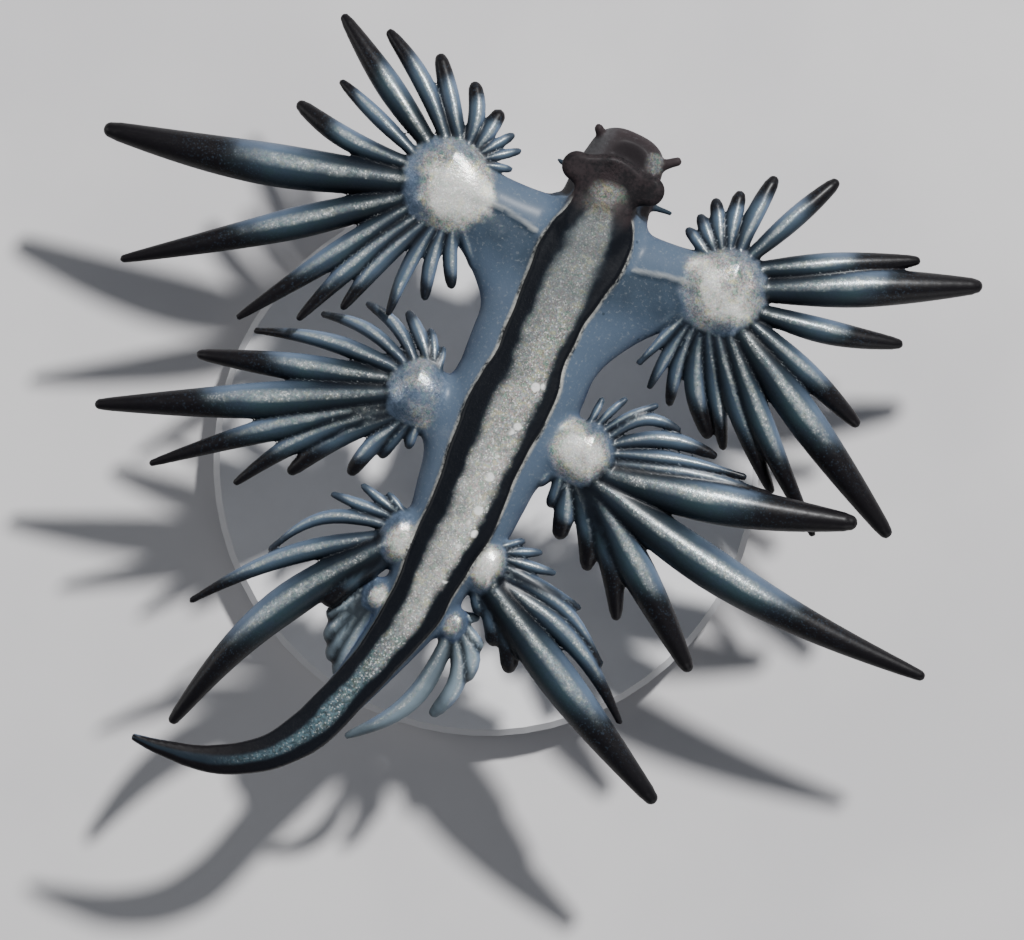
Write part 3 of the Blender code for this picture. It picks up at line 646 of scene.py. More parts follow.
@dataclass(frozen=True)
class HeadShape:
    """The lobes of the foot, the snout with its mouth, and the feelers."""

    lobes: Chain = Chain(
        [(-2.16, 14.36), (-1.25, 14.38), (-0.35, 14.44), (0.60, 14.58), (1.42, 14.76)],
        [0.72, 0.78, 0.84, 0.80, 0.74],
    )
    neck: Chain = Chain([(-0.30, 12.4), (-0.38, 14.2)], [1.44, 1.46])
    collar_top: float = 11.46
    collar_thick: float = 0.8
    collar_edge: float = 0.34
    middle_x: float = -0.20
    # Lumps: middle, radii and squareness.
    filler: tuple = ((-0.20, 13.4, 10.0), (1.5, 1.75, 1.35), 2.4)
    snout_front: tuple = ((-0.20, 15.25, 9.18), (1.88, 1.75, 1.38), 2.6)
    snout_back: tuple = ((-0.20, 13.6, 8.95), (2.08, 2.3, 1.55), 2.6)
    mouth: tuple = ((-0.10, 15.76, 11.14), (0.72, 0.70, 0.74), 2.0)
    # How softly the parts run into one another.
    lobe_blend: float = 0.5
    filler_blend: float = 0.35
    mouth_blend: float = 0.8
    feeler_blend: float = 0.22
    # The oral tentacles, then the rhinophores, the left one first.
    feelers: tuple = (
        Chain([(-1.25, 15.80, 9.5), (-1.62, 16.10, 9.75), (-1.85, 16.30, 9.9), (-2.00, 16.44, 10.0)],
              [0.42, 0.28, 0.24, 0.22]),
        Chain([(1.05, 15.95, 9.5), (1.50, 16.15, 9.65), (1.80, 16.42, 9.72), (2.03, 16.60, 9.75)],
              [0.42, 0.27, 0.23, 0.22]),
        Chain([(-1.85, 14.16, 8.95), (-2.6, 14.22, 9.1), (-3.05, 14.28, 9.2)], [0.26, 0.15, 0.12]),
        Chain([(1.45, 14.12, 8.95), (2.2, 14.2, 9.1), (2.80, 14.28, 9.2)], [0.26, 0.15, 0.12]),
    )

    def collar(self, points: np.ndarray) -> np.ndarray:
        """Measures points against the lobes and neck of the foot.

        Args:
            points: The points, as rows.

        Returns:
            Signed distances.
        """
        lobes, _, _ = self.lobes.measure(points[:, :2])
        neck, _, _ = self.neck.measure(points[:, :2])
        plan = blend_min(lobes, neck, self.lobe_blend)
        out = np.abs(points[:, 0] - self.middle_x)
        swell = 0.16 * ease(out, 0.9, 1.7) - 0.10 * ease(out, 1.0, 0.0)
        rise = points[:, 2] - (self.collar_top - 0.5 * self.collar_thick) - swell
        plate = extrude(plan, rise, 0.5 * self.collar_thick, self.collar_edge)
        return blend_min(plate, lump(points, *self.filler), self.filler_blend)

    def snout(self, points: np.ndarray) -> np.ndarray:
        """Signed distances to the snout with the hollow of its mouth."""
        shape = blend_min(lump(points, *self.snout_front), lump(points, *self.snout_back), self.lobe_blend)
        return -blend_min(-shape, lump(points, *self.mouth), self.mouth_blend)

    def distance(self, points: np.ndarray) -> np.ndarray:
        """Measures points against the whole head.

        Args:
            points: The points, as rows.

        Returns:
            Signed distances.
        """
        shape = blend_min(self.snout(points), self.collar(points), self.lobe_blend)
        for feeler in self.feelers:
            shape = blend_min(shape, feeler.measure(points)[0], self.feeler_blend)
        return shape


@dataclass(eq=False)
class BodyShape:
    """The trunk and tail: rounded flanks, and the sole with its soft edges."""

    crown: float = 0.26
    # The sole's thickness and the radius of its edge, and the same as shares of body and sole.
    thick: float = 0.55
    thick_share: float = 0.42
    edge: float = 0.20
    edge_share: float = 0.48
    # The raised lip along the sole's edge: its height, its place across and its width.
    lip: float = 0.07
    lip_at: float = 0.93
    lip_width: float = 0.10

    def __post_init__(self) -> None:
        """Makes the body's midline."""
        self.line = BodyLine(STATIONS)

    def foot_half(self, run: np.ndarray, lateral: np.ndarray, foot: np.ndarray) -> np.ndarray:
        """The half width of the sole with the gentle waves of its edge.

        Args:
            run: The run along the body.
            lateral: The way out to its right.
            foot: The half width without the waves.

        Returns:
            The half widths.
        """
        phase = np.where(lateral > 0, 0.0, 2.1)
        wave = np.sin(1.35 * run + phase) + 0.6 * np.sin(3.1 * run + 2.3 * phase)
        return foot * (1 + 0.016 * wave)

    def measure(self, points: np.ndarray, column: int = 1) -> dict[str, np.ndarray]:
        """Measures points against the body.

        Args:
            points: The points, as rows.
            column: How many of them, one after the other, stand over the same plan point.

        Returns:
            Signed distances, and the run, the sideways share of the sole, the depth below it and the
            body's own depth there.
        """
        run, lateral, beyond, sizes = (np.repeat(part, column, axis=0)
                                       for part in self.line.locate(points[::column, :2]))
        foot, flank, depth, top = sizes[:, 2], sizes[:, 3], sizes[:, 4], sizes[:, 5]
        half = self.foot_half(run, lateral, foot)
        share = lateral / half
        rise = points[:, 2] - top
        flanks = oval(lateral, rise + 0.5 * depth, flank, 0.5 * depth)
        lip = self.lip * np.exp(-(((np.abs(share) - self.lip_at) / self.lip_width) ** 2))
        sole = rise + self.crown * np.abs(share) ** 2.2 * np.minimum(half, 1.7) / 1.7 - lip
        thick = np.minimum(self.thick, self.thick_share * depth)
        edge = np.minimum(self.edge, self.edge_share * thick)
        out = np.abs(lateral) - half + edge
        up = np.abs(sole + 0.5 * thick) - (0.5 * thick - edge)
        plate = np.hypot(np.maximum(out, 0), np.maximum(up, 0)) + np.minimum(np.maximum(out, up), 0) - edge
        section = blend_min(plate, flanks, 0.20)
        distance = np.where(beyond > 0, np.hypot(np.maximum(section, 0), beyond), section)
        return {"distance": distance, "run": run, "share": share, "rise": rise, "depth": depth}


class Grid:
    """A block of evenly spaced points that holds the animal's signed distance."""

    def __init__(self, low: Sequence[float], high: Sequence[float], pitch: float) -> None:
        """Lays out the points.

        Args:
            low: The lowest corner.
            high: The highest corner.
            pitch: The spacing of the points.
        """
        self.low = np.asarray(low, float)
        self.pitch = pitch
        self.shape = tuple(int(n) + 1 for n in np.ceil((np.asarray(high) - self.low) / pitch))
        self.field = np.full(self.shape, 1.0, np.float32)

    def block(self, low: np.ndarray, high: np.ndarray) -> tuple[tuple[slice, ...], np.ndarray]:
        """Finds the part of the grid between two corners.

        Args:
            low: The lowest corner.
            high: The highest corner.

        Returns:
            Its place in the field, and its points as rows.
        """
        first = np.clip(np.floor((low - self.low) / self.pitch).astype(int), 0, self.shape)
        last = np.clip(np.ceil((high - self.low) / self.pitch).astype(int) + 1, 0, self.shape)
        axes = [self.low[k] + self.pitch * np.arange(first[k], last[k]) for k in range(3)]
        points = np.stack(np.meshgrid(*axes, indexing="ij"), axis=-1).reshape(-1, 3)
        return tuple(slice(a, b) for a, b in zip(first, last)), points

    def join(self, where: tuple[slice, ...], distance: np.ndarray, soft: float) -> None:
        """Joins a shape's distances in one block to what the grid holds."""
        there = self.field[where]
        self.field[where] = blend_min(there, distance.reshape(there.shape).astype(np.float32), soft)

    def sample(self, points: np.ndarray) -> np.ndarray:
        """Reads the field between the grid's own points.

        Args:
            points: The points, as rows.

        Returns:
            The distances there.
        """
        place = (points - self.low) / self.pitch
        base = np.clip(np.floor(place).astype(int), 0, np.array(self.shape) - 2)
        part = place - base
        total = np.zeros(len(points))
        for corner in np.ndindex(2, 2, 2):
            weight = np.prod(np.where(corner, part, 1 - part), axis=1)
            at = base + corner
            total += weight * self.field[at[:, 0], at[:, 1], at[:, 2]]
        return total

    def slope(self, points: np.ndarray) -> np.ndarray:
        """Works out which way and how fast the distance grows.

        Args:
            points: The points, as rows.

        Returns:
            The gradients, as rows.
        """
        step = 0.6 * self.pitch
        columns = []
        for axis in np.eye(3):
            rise = self.sample(points + axis * step) - self.sample(points - axis * step)
            columns.append(rise / (2 * step))
        return np.column_stack(columns)

    def settle(self, points: np.ndarray, times: int) -> np.ndarray:
        """Moves points onto the surface.

        Args:
            points: The points, as rows.
            times: How often each is pulled.

        Returns:
            The moved points.
        """
        for _ in range(times):
            slope = self.slope(points)
            pull = self.sample(points) / np.maximum((slope**2).sum(1), 1e-3)
            points = points - np.clip(pull, -self.pitch, self.pitch)[:, None] * slope
        return points

    def surface(self) -> tuple[np.ndarray, np.ndarray]:
        """Makes the surface where the distance is nought.

        Returns:
            Points and four-sided faces that look outward.
        """
        inside = self.field < 0
        cells = np.zeros(tuple(n - 1 for n in self.shape), np.int8)
        for corner in np.ndindex(2, 2, 2):
            cells += inside[tuple(slice(c, c + n) for c, n in zip(corner, cells.shape))]
        active = (cells > 0) & (cells < 8)
        where = np.argwhere(active)
        number = np.full(cells.shape, -1, np.int32)
        number[active] = np.arange(len(where))
        corners = np.array(list(np.ndindex(2, 2, 2)))
        values = np.stack([self.field[tuple((where + c).T)] for c in corners], axis=1)
        total, count = np.zeros((len(where), 3)), np.zeros(len(where))
        for a in range(8):
            for b in range(a + 1, 8):
                if np.abs(corners[a] - corners[b]).sum() != 1:
                    continue
                low, high = values[:, a], values[:, b]
                cross = (low < 0) != (high < 0)
                t = low[cross] / (low[cross] - high[cross])
                total[cross] += corners[a] + t[:, None] * (corners[b] - corners[a])
                count[cross] += 1
        points = self.low + self.pitch * (where + total / count[:, None])
        faces = []
        for axis in range(3):
            other, third = (axis + 1) % 3, (axis + 2) % 3
            lower = [slice(None)] * 3
            upper = [slice(None)] * 3
            lower[axis], upper[axis] = slice(0, -1), slice(1, None)
            change = inside[tuple(lower)] != inside[tuple(upper)]
            edge = np.argwhere(change)
            keep = (edge[:, other] > 0) & (edge[:, third] > 0)
            edge = edge[keep]
            unit = np.eye(3, dtype=int)
            ring = [edge - unit[other] - unit[third], edge - unit[third], edge, edge - unit[other]]
            quad = np.stack([number[tuple(cell.T)] for cell in ring], axis=1)
            outward = inside[tuple(edge.T)]
            quad[~outward] = quad[~outward][:, ::-1]
            faces.append(quad)
        return points, np.concatenate(faces)


@dataclass(eq=False)
class SlugSkin:
    """The one skin over trunk, tail, head, arms and cerata."""

    pitch: float = 0.12
    low: tuple = (-23.6, -19.8, 6.3)
    high: tuple = (23.6, 19.4, 12.3)
    triangles: int = 192_000
    # The space left round body and arms, and round each ceras, where their distances are worked out.
    margin: float = 0.7
    ceras_margin: float = 0.45
    head_block: tuple = ((-4.2, 9.9, 6.6), (4.0, 17.9, 12.3))
    # How softly each part runs into those before it.
    body_blend: float = 0.2
    head_blend: float = 0.60
    arm_blend: float = 0.55
    ceras_blend: float = 0.17
    fan_blend: float = 0.26
    # The silver patch on the cheek and the painted shade of the mouth, seen from above: middle and half
    # widths.
    patch: tuple = ((1.10, 16.05), (0.62, 0.60))
    mouth: tuple = ((-0.12, 15.70), (1.20, 1.16))
    # How far from an arm or a ceras a point may lie and still be marked by it, and what counts as far.
    arm_reach: float = 0.8
    ceras_reach: float = 0.4
    far: float = 9.0
    nodes: tuple = (
        "trunk_front", "trunk_middle", "trunk_rear", "tail_base", "tail_tip", "head",
        "oral_tentacle_left", "oral_tentacle_right", "rhinophore_left", "rhinophore_right",
    )

    def __post_init__(self) -> None:
        """Makes the shapes that the skin covers."""
        self.body = BodyShape()
        self.head = HeadShape()
        self.arms = [ArmShape(arm) for arm in ARMS]
        self.fans = [[CerasShape(arm, ceras) for ceras in spread(arm, seed)]
                     for seed, arm in enumerate(ARMS, start=1)]

    def fill(self) -> Grid:
        """Works out the animal's signed distance on a grid.

        Returns:
            The grid.
        """
        grid = Grid(self.low, self.high, self.pitch)
        rows = self.body.line.rows
        reach = np.maximum(rows[:, 2], rows[:, 3])[:, None] + self.margin
        low = np.append((rows[:, :2] - reach).min(0), (rows[:, 5] - rows[:, 4]).min() - self.margin)
        high = np.append((rows[:, :2] + reach).max(0), rows[:, 5].max() + self.margin)
        where, points = grid.block(low, high)
        body = self.body.measure(points, column=where[2].stop - where[2].start)
        grid.join(where, body["distance"], self.body_blend)
        where, points = grid.block(*np.array(self.head_block))
        grid.join(where, self.head.distance(points), self.head_blend)
        for arm in self.arms:
            where, points = grid.block(*arm.box(self.margin))
            grid.join(where, arm.distance(points), self.arm_blend)
        for fan in self.fans:
            self._join_fan(grid, fan)
        return grid

    def _join_fan(self, grid: Grid, cerata: Sequence[CerasShape]) -> None:
        """Joins one arm's cerata to each other and then to the grid.

        Args:
            grid: The grid with the body and the arms.
            cerata: The arm's cerata.
        """
        boxes = [ceras.chain.box(self.ceras_margin) for ceras in cerata]
        low, high = np.min([box[0] for box in boxes], axis=0), np.max([box[1] for box in boxes], axis=0)
        where, _ = grid.block(low, high)
        fan = np.full(tuple(s.stop - s.start for s in where), 1.0, np.float32)
        for ceras in cerata:
            alone = np.full(fan.shape, 1.0, np.float32)
            for link in ceras.chain.links():
                inner, points = grid.block(*link.box(self.ceras_margin))
                local = tuple(slice(s.start - w.start, s.stop - w.start) for s, w in zip(inner, where))
                distance = link.measure(points)[0].reshape(alone[local].shape)
                alone[local] = np.minimum(alone[local], distance)
            fan = blend_min(fan, alone, self.ceras_blend)
        grid.join(where, fan, self.fan_blend)

    def build(self) -> bpy.types.Object:
        """Makes the skin's mesh, with the marks that its finish reads.

        Returns:
            The skin, in the scene.
        """
        grid = self.fill()
        points, faces = grid.surface()
        LOG.info("skin surface: %d points", len(points))
        points = grid.settle(self._relax(points, faces), 2)
        mesh = bpy.data.meshes.new("slug_skin")
        mesh.from_pydata(points.tolist(), [], faces.tolist())
        skin = bpy.data.objects.new("slug_skin", mesh)
        bpy.context.scene.collection.objects.link(skin)
        thin = skin.modifiers.new("Thin", "DECIMATE")
        thin.ratio = min(1.0, self.triangles / (2 * len(faces)))
        graph = bpy.context.evaluated_depsgraph_get()
        skin.data = bpy.data.meshes.new_from_object(skin.evaluated_get(graph))
        skin.modifiers.clear()
        bpy.data.meshes.remove(mesh)
        mesh = skin.data
        points = np.empty(len(mesh.vertices) * 3)
        mesh.vertices.foreach_get("co", points)
        points = grid.settle(points.reshape(-1, 3), 1)
        self.mark(mesh, points)
        placed = (points + SLUG_AT) * MM
        mesh.vertices.foreach_set("co", placed.ravel())
        mesh.update()
        mesh.shade_smooth()
        mesh.normals_split_custom_set_from_vertices(self._normals(grid, points))
        LOG.info("skin: %d triangles", sum(len(p.vertices) - 2 for p in mesh.polygons))
        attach(skin, "root")
        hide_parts(*self.nodes, *(arm.name for arm in ARMS))
        return skin

    @staticmethod
    def _normals(grid: Grid, points: np.ndarray) -> np.ndarray:
        """Unit normals from the slope of the distance."""
        slope = grid.slope(points)
        return slope / np.maximum(np.linalg.norm(slope, axis=1), 1e-6)[:, None]

    @staticmethod
    def _relax(points: np.ndarray, faces: np.ndarray) -> np.ndarray:
        """Moves each point halfway to the middle of its neighbours.

        Args:
            points: The points, as rows.
            faces: The four-sided faces between them.

        Returns:
            The moved points.
        """
        a = faces.ravel()
        b = np.roll(faces, -1, axis=1).ravel()
        count = np.bincount(a, minlength=len(points)) + np.bincount(b, minlength=len(points))
        mean = np.empty_like(points)
        for k in range(3):
            total = np.bincount(a, points[b, k], len(points)) + np.bincount(b, points[a, k], len(points))
            mean[:, k] = total / count
        return 0.5 * (points + mean)

    def mark(self, mesh: bpy.types.Mesh, points: np.ndarray) -> None:
        """Writes on each point which part of the animal it lies on, and where on that part.

        Args:
            mesh: The skin's mesh.
            points: Its points in millimetres.
        """
        body = self.body.measure(points)
        web, dome, shine, crest, behind = self._arm_marks(points)
        soft_parts = np.minimum(body["distance"], self.head.distance(points))
        ceras, kind, apart = self._ceras_marks(points, np.minimum(soft_parts, web))
        bare = 1 - kind[:, 0]
        head, face = self._head_marks(points, np.minimum(body["distance"], web), bare)
        share, rise = body["share"], body["rise"]
        on_sole = ease(rise, -0.62, -0.40) * ease(np.abs(share), 1.10, 1.02) * bare
        layers = {
            "ceras": ceras, "ceras_kind": kind, "sole": (share, body["run"], on_sole),
            "spot": (dome, crest, ease(rise / body["depth"], -0.15, -0.85)),
            "web_marks": (shine, behind, apart), "head_marks": head, "face_marks": face,
        }
        for name, values in layers.items():
            columns = values if isinstance(values, np.ndarray) else np.column_stack(values)
            layer = mesh.attributes.new(name, "FLOAT_VECTOR", "POINT")
            layer.data.foreach_set("vector", columns.astype(np.float32).ravel())

    @staticmethod
    def _within(points: np.ndarray, box: tuple[np.ndarray, np.ndarray]) -> np.ndarray:
        """The numbers of the points inside a box."""
        return np.flatnonzero(((points > box[0]) & (points < box[1])).all(1))

    def _arm_marks(self, points: np.ndarray) -> tuple[np.ndarray, ...]:
        """The marks of webs and hubs.

        Args:
            points: The skin's points.

        Returns:
            The distance to the webs, how much a point lies on a hub, how bright the hub's silver and its
            painted highlight are there, and how much the point lies on a crest and behind one, where the
            web is painted in shade.
        """
        web = np.full(len(points), self.far)
        dome, shine, crest, behind = (np.zeros(len(points)) for _ in range(4))
        for shape in self.arms:
            arm = shape.arm
            there = self._within(points, shape.box(self.arm_reach))
            part = points[there]
            z = part[:, 2]
            web[there] = np.minimum(web[there], shape.distance(part))
            plan = shape.plan(part) - shape.hub
            share = np.hypot(*(plan / arm.radii).T)
            height = ease(z, arm.top - 0.55 * arm.thick, arm.top - 0.25 * arm.thick)
            dome[there] = np.maximum(dome[there], ease(share, 1.45, 0.85) * height)
            # shine is the hub's silver, off-centre, and the painted highlight where it is brightest.
            inward = plan + HUB_SHIFT[arm.side] * arm.radii[0] * shape.along
            bright = HUB_LIT.get(arm.name, 1.0) * ease(np.hypot(*(inward / arm.radii).T), 1.35, 0.35)
            shine[there] = np.maximum(shine[there], bright * height)
            if shape.crest is not None:
                ahead, away = shape.crest_side(shape.plan(part))
                line = ease(away, 0.17, 0.02) * ease(z, arm.top - 1.1, arm.top - 0.7)
                crest[there] = np.maximum(crest[there], line)
                # behind marks where the web is painted in shade behind its crest.
                hollow = ease(ahead, 0.05, -0.25) * ease(ahead, -3.2, -1.2)
                behind[there] = np.maximum(behind[there], hollow)
        return web, dome, shine, crest, behind

    def _ceras_marks(self, points: np.ndarray, base: np.ndarray) -> tuple[np.ndarray, np.ndarray, np.ndarray]:
        """The marks of the cerata.

        Args:
            points: The skin's points.
            base: Their distances to all that isn't a ceras.

        Returns:
            The place on the nearest ceras (along, sideways, up), how much the point lies on a ceras
            with its girth and the darkness of its tip, and how far the next ceras is, which places the
            painted shade between cerata.
        """
        best, second = (np.full(len(points), self.far) for _ in range(2))
        ceras, kind = (np.zeros((len(points), 3)) for _ in range(2))
        for shape in itertools.chain(*self.fans):
            there = self._within(points, shape.chain.box(self.ceras_reach))
            distance, *place = shape.measure(points[there])
            second[there] = np.minimum(second[there], np.maximum(distance, best[there]))
            closer = distance < best[there]
            there = there[closer]
            best[there] = distance[closer]
            ceras[there] = np.column_stack(place)[closer]
            kind[there, 1:] = shape.girth, shape.cap
        kind[:, 0] = ease(base - best, -0.10, 0.14)
        return ceras, kind, ease(second - best, 0.04, 0.28)

    def _head_marks(self, points: np.ndarray, rest: np.ndarray,
                    bare: np.ndarray) -> tuple[tuple[np.ndarray, ...], tuple[np.ndarray, ...]]:
        """The marks of the head.

        Args:
            points: The skin's points.
            rest: Their distances to body and webs.
            bare: How much no ceras covers them.

        Returns:
            How much a point lies on the snout, the lobes and a feeler, then how much on the silver
            patch, the mouth's painted shade and the left cheek.
        """
        x, y, z = points.T
        head = self.head
        snout, collar = head.snout(points), head.collar(points)
        feel = np.min([feeler.measure(points)[0] for feeler in head.feelers], axis=0)
        here = ease(rest - head.distance(points), -0.25, 0.05) * bare
        here *= ease(y, 12.4, 13.1) * (np.abs(x) < 4)
        neck = ease(head.neck.measure(points[:, :2])[0], 0.12, -0.02) * ease(z, 10.75, 11.0)
        neck *= ease(y, 12.7, 13.2)
        patch, mouth = (np.hypot(*((points[:, :2] - middle) / halves).T)
                        for middle, halves in (self.patch, self.mouth))
        return (
            here * ease(collar - snout, -0.08, 0.10),
            np.maximum(here * ease(snout - collar, -0.08, 0.10) * ease(z, 10.4, 10.8), neck),
            ease(np.minimum(snout, collar) - feel, -0.05, 0.12) * here,
        ), (
            ease(patch, 1.25, 0.45),
            ease(mouth, 1.35, 0.25) * ease(z, 9.3, 10.0),
            ease(x, -0.85, -1.6),
        )


def paint(red: int, green: int, blue: int) -> tuple[float, float, float, float]:
    """A linear colour from the numbers of a paint chart, from 0 to 255."""
    shares = (red / 255, green / 255, blue / 255)
    return (*(c / 12.92 if c <= 0.04045 else ((c + 0.055) / 1.055) ** 2.4 for c in shares), 1.0)


class Value:
    """A number in a shader, which Python's operators work on."""

    def __init__(self, graph: "Graph", socket: bpy.types.NodeSocket) -> None:
        """Wraps an output socket."""
        self.graph = graph
        self.socket = socket

    def _math(self, operation: str, first: "Value | float", second: "Value | float | None" = None) -> "Value":
        """Adds one Math node."""
        values = {0: first} if second is None else {0: first, 1: second}
        return self.graph.value("ShaderNodeMath", {"operation": operation}, values)

    def __add__(self, other: "Value | float") -> "Value":
        """The sum."""
        return self._math("ADD", self, other)

    __radd__ = __add__

    def __sub__(self, other: "Value | float") -> "Value":
        """The difference."""
        return self._math("SUBTRACT", self, other)

    def __rsub__(self, other: float) -> "Value":
        """The difference from a number."""
        return self._math("SUBTRACT", other, self)

    def __mul__(self, other: "Value | float") -> "Value":
        """The product."""
        return self._math("MULTIPLY", self, other)

    __rmul__ = __mul__

    def size(self) -> "Value":
        """The number without its sign."""
        return self._math("ABSOLUTE", self)

    def least(self, other: "Value | float") -> "Value":
        """The smaller of two."""
        return self._math("MINIMUM", self, other)

    def most(self, other: "Value | float") -> "Value":
        """The larger of two."""
        return self._math("MAXIMUM", self, other)

    def step(self, low: float, high: float, to_low: float = 0.0, to_high: float = 1.0) -> "Value":
        """A smooth step between two numbers.

        Args:
            low: Where the step starts. It may be the larger of the two.
            high: Where it ends.
            to_low: The result where it starts.
            to_high: The result where it ends.

        Returns:
            The result.
        """
        if low > high:
            low, high, to_low, to_high = high, low, to_high, to_low
        return self.graph.value(
            "ShaderNodeMapRange", {"interpolation_type": "SMOOTHSTEP"},
            {"Value": self, "From Min": low, "From Max": high, "To Min": to_low, "To Max": to_high},
        )


class Graph:
    """A material under construction."""

    def __init__(self, name: str) -> None:
        """Makes an empty material with its shader and output.

        Args:
            name: The material's name.
        """
        self.material = bpy.data.materials.new(name)
        self.material.use_nodes = True
        self.tree = self.material.node_tree
        self.tree.nodes.clear()
        self.shader = self.node("ShaderNodeBsdfPrincipled", {}, {})
        output = self.node("ShaderNodeOutputMaterial", {}, {})
        self.tree.links.new(self.shader.outputs["BSDF"], output.inputs["Surface"])

    def node(self, kind: str, settings: dict[str, object], values: dict[int | str, object]) -> bpy.types.Node:
        """Adds a node.

        Args:
            kind: The node's type.
            settings: Its own settings, which are set first. A ramp's stops are "stops".
            values: The values or links of its sockets.

        Returns:
            The node.
        """
        node = self.tree.nodes.new(kind)
        for name, setting in settings.items():
            if name == "stops":
                self._set_stops(node.color_ramp, setting)
            else:
                setattr(node, name, setting)
        for name, value in values.items():
            self._feed(node.inputs[name], value)
        return node

    def _feed(self, socket: bpy.types.NodeSocket, value: object) -> None:
        """Feeds a socket.

        Args:
            socket: The input socket.
            value: What it is linked to, or its constant.
        """
        if isinstance(value, Value):
            value = value.socket
        if isinstance(value, bpy.types.NodeSocket):
            self.tree.links.new(value, socket)
        else:
            socket.default_value = value

    @staticmethod
    def _set_stops(ramp: bpy.types.ColorRamp, stops: Sequence[tuple[float, Sequence[float]]]) -> None:
        """Gives a ramp its stops.

        Args:
            ramp: The ramp.
            stops: The place and colour of each.
        """
        while len(ramp.elements) < len(stops):
            ramp.elements.new(0.5)
        for element, (place, colour) in zip(ramp.elements, stops):
            element.position = place
            element.color = colour

    def value(self, kind: str, settings: dict[str, object], values: dict[int | str, object]) -> Value:
        """Adds a node and gives its first output as a number."""
        return Value(self, self.node(kind, settings, values).outputs[0])

    def mix(self, factor: Value | float, low: object, high: object, how: str = "MIX") -> bpy.types.NodeSocket:
        """Mixes two colours.

        Args:
            factor: The share of the second.
            low: The first colour, a socket or four numbers.
            high: The second colour.
            how: The way of mixing.

        Returns:
            The mixed colour's socket.
        """
        node = self.node("ShaderNodeMix", {"data_type": "RGBA", "blend_type": how},
                         {"Factor": factor, 6: low, 7: high})
        return node.outputs[2]

    def noise(self, scale: float, detail: float = 2.0, at: object = None, rough: float = 0.5) -> Value:
        """Cloudy noise from 0 to 1, with its scale per metre."""
        values = {"Vector": at or self.place(), "Scale": scale, "Detail": detail, "Roughness": rough}
        return self.value("ShaderNodeTexNoise", {"noise_dimensions": "3D"}, values)

    def place(self) -> bpy.types.NodeSocket:
        """The point's own coordinates on its object."""
        return self.node("ShaderNodeTexCoord", {}, {}).outputs["Object"]

    def marks(self, name: str) -> tuple[Value, Value, Value]:
        """The three numbers that the mesh carries under a name."""
        return self.split(self.node("ShaderNodeAttribute", {"attribute_name": name}, {}).outputs["Vector"])

    def split(self, vector: bpy.types.NodeSocket) -> tuple[Value, Value, Value]:
        """The three parts of a vector."""
        parts = self.node("ShaderNodeSeparateXYZ", {}, {0: vector})
        return tuple(Value(self, part) for part in parts.outputs)

    def upward(self) -> Value:
        """How much the surface faces up, from -1 to 1."""
        return self.split(self.node("ShaderNodeNewGeometry", {}, {}).outputs["Normal"])[2]

    def cells(self, scale: float) -> tuple[Value, Value, Value, Value]:
        """Scattered cells, with their scale per metre.

        Args:
            scale: How many of them there are to a metre.

        Returns:
            The distance from a cell's middle, and three chance numbers that each cell has.
        """
        cells = self.node("ShaderNodeTexVoronoi", {}, {"Vector": self.place(), "Scale": scale})
        chance = self.node("ShaderNodeSeparateColor", {"mode": "RGB"}, {0: cells.outputs["Color"]})
        return tuple(Value(self, part) for part in (cells.outputs["Distance"], *list(chance.outputs)[:3]))

    def finish(self, **sockets: object) -> bpy.types.Material:
        """Finishes the material.

        Args:
            sockets: The shader's sockets, with _ for the spaces in their names.

        Returns:
            The material.
        """
        for name, value in sockets.items():
            self._feed(self.shader.inputs[name.replace("_", " ").title().replace("Ior", "IOR")], value)
        return self.material


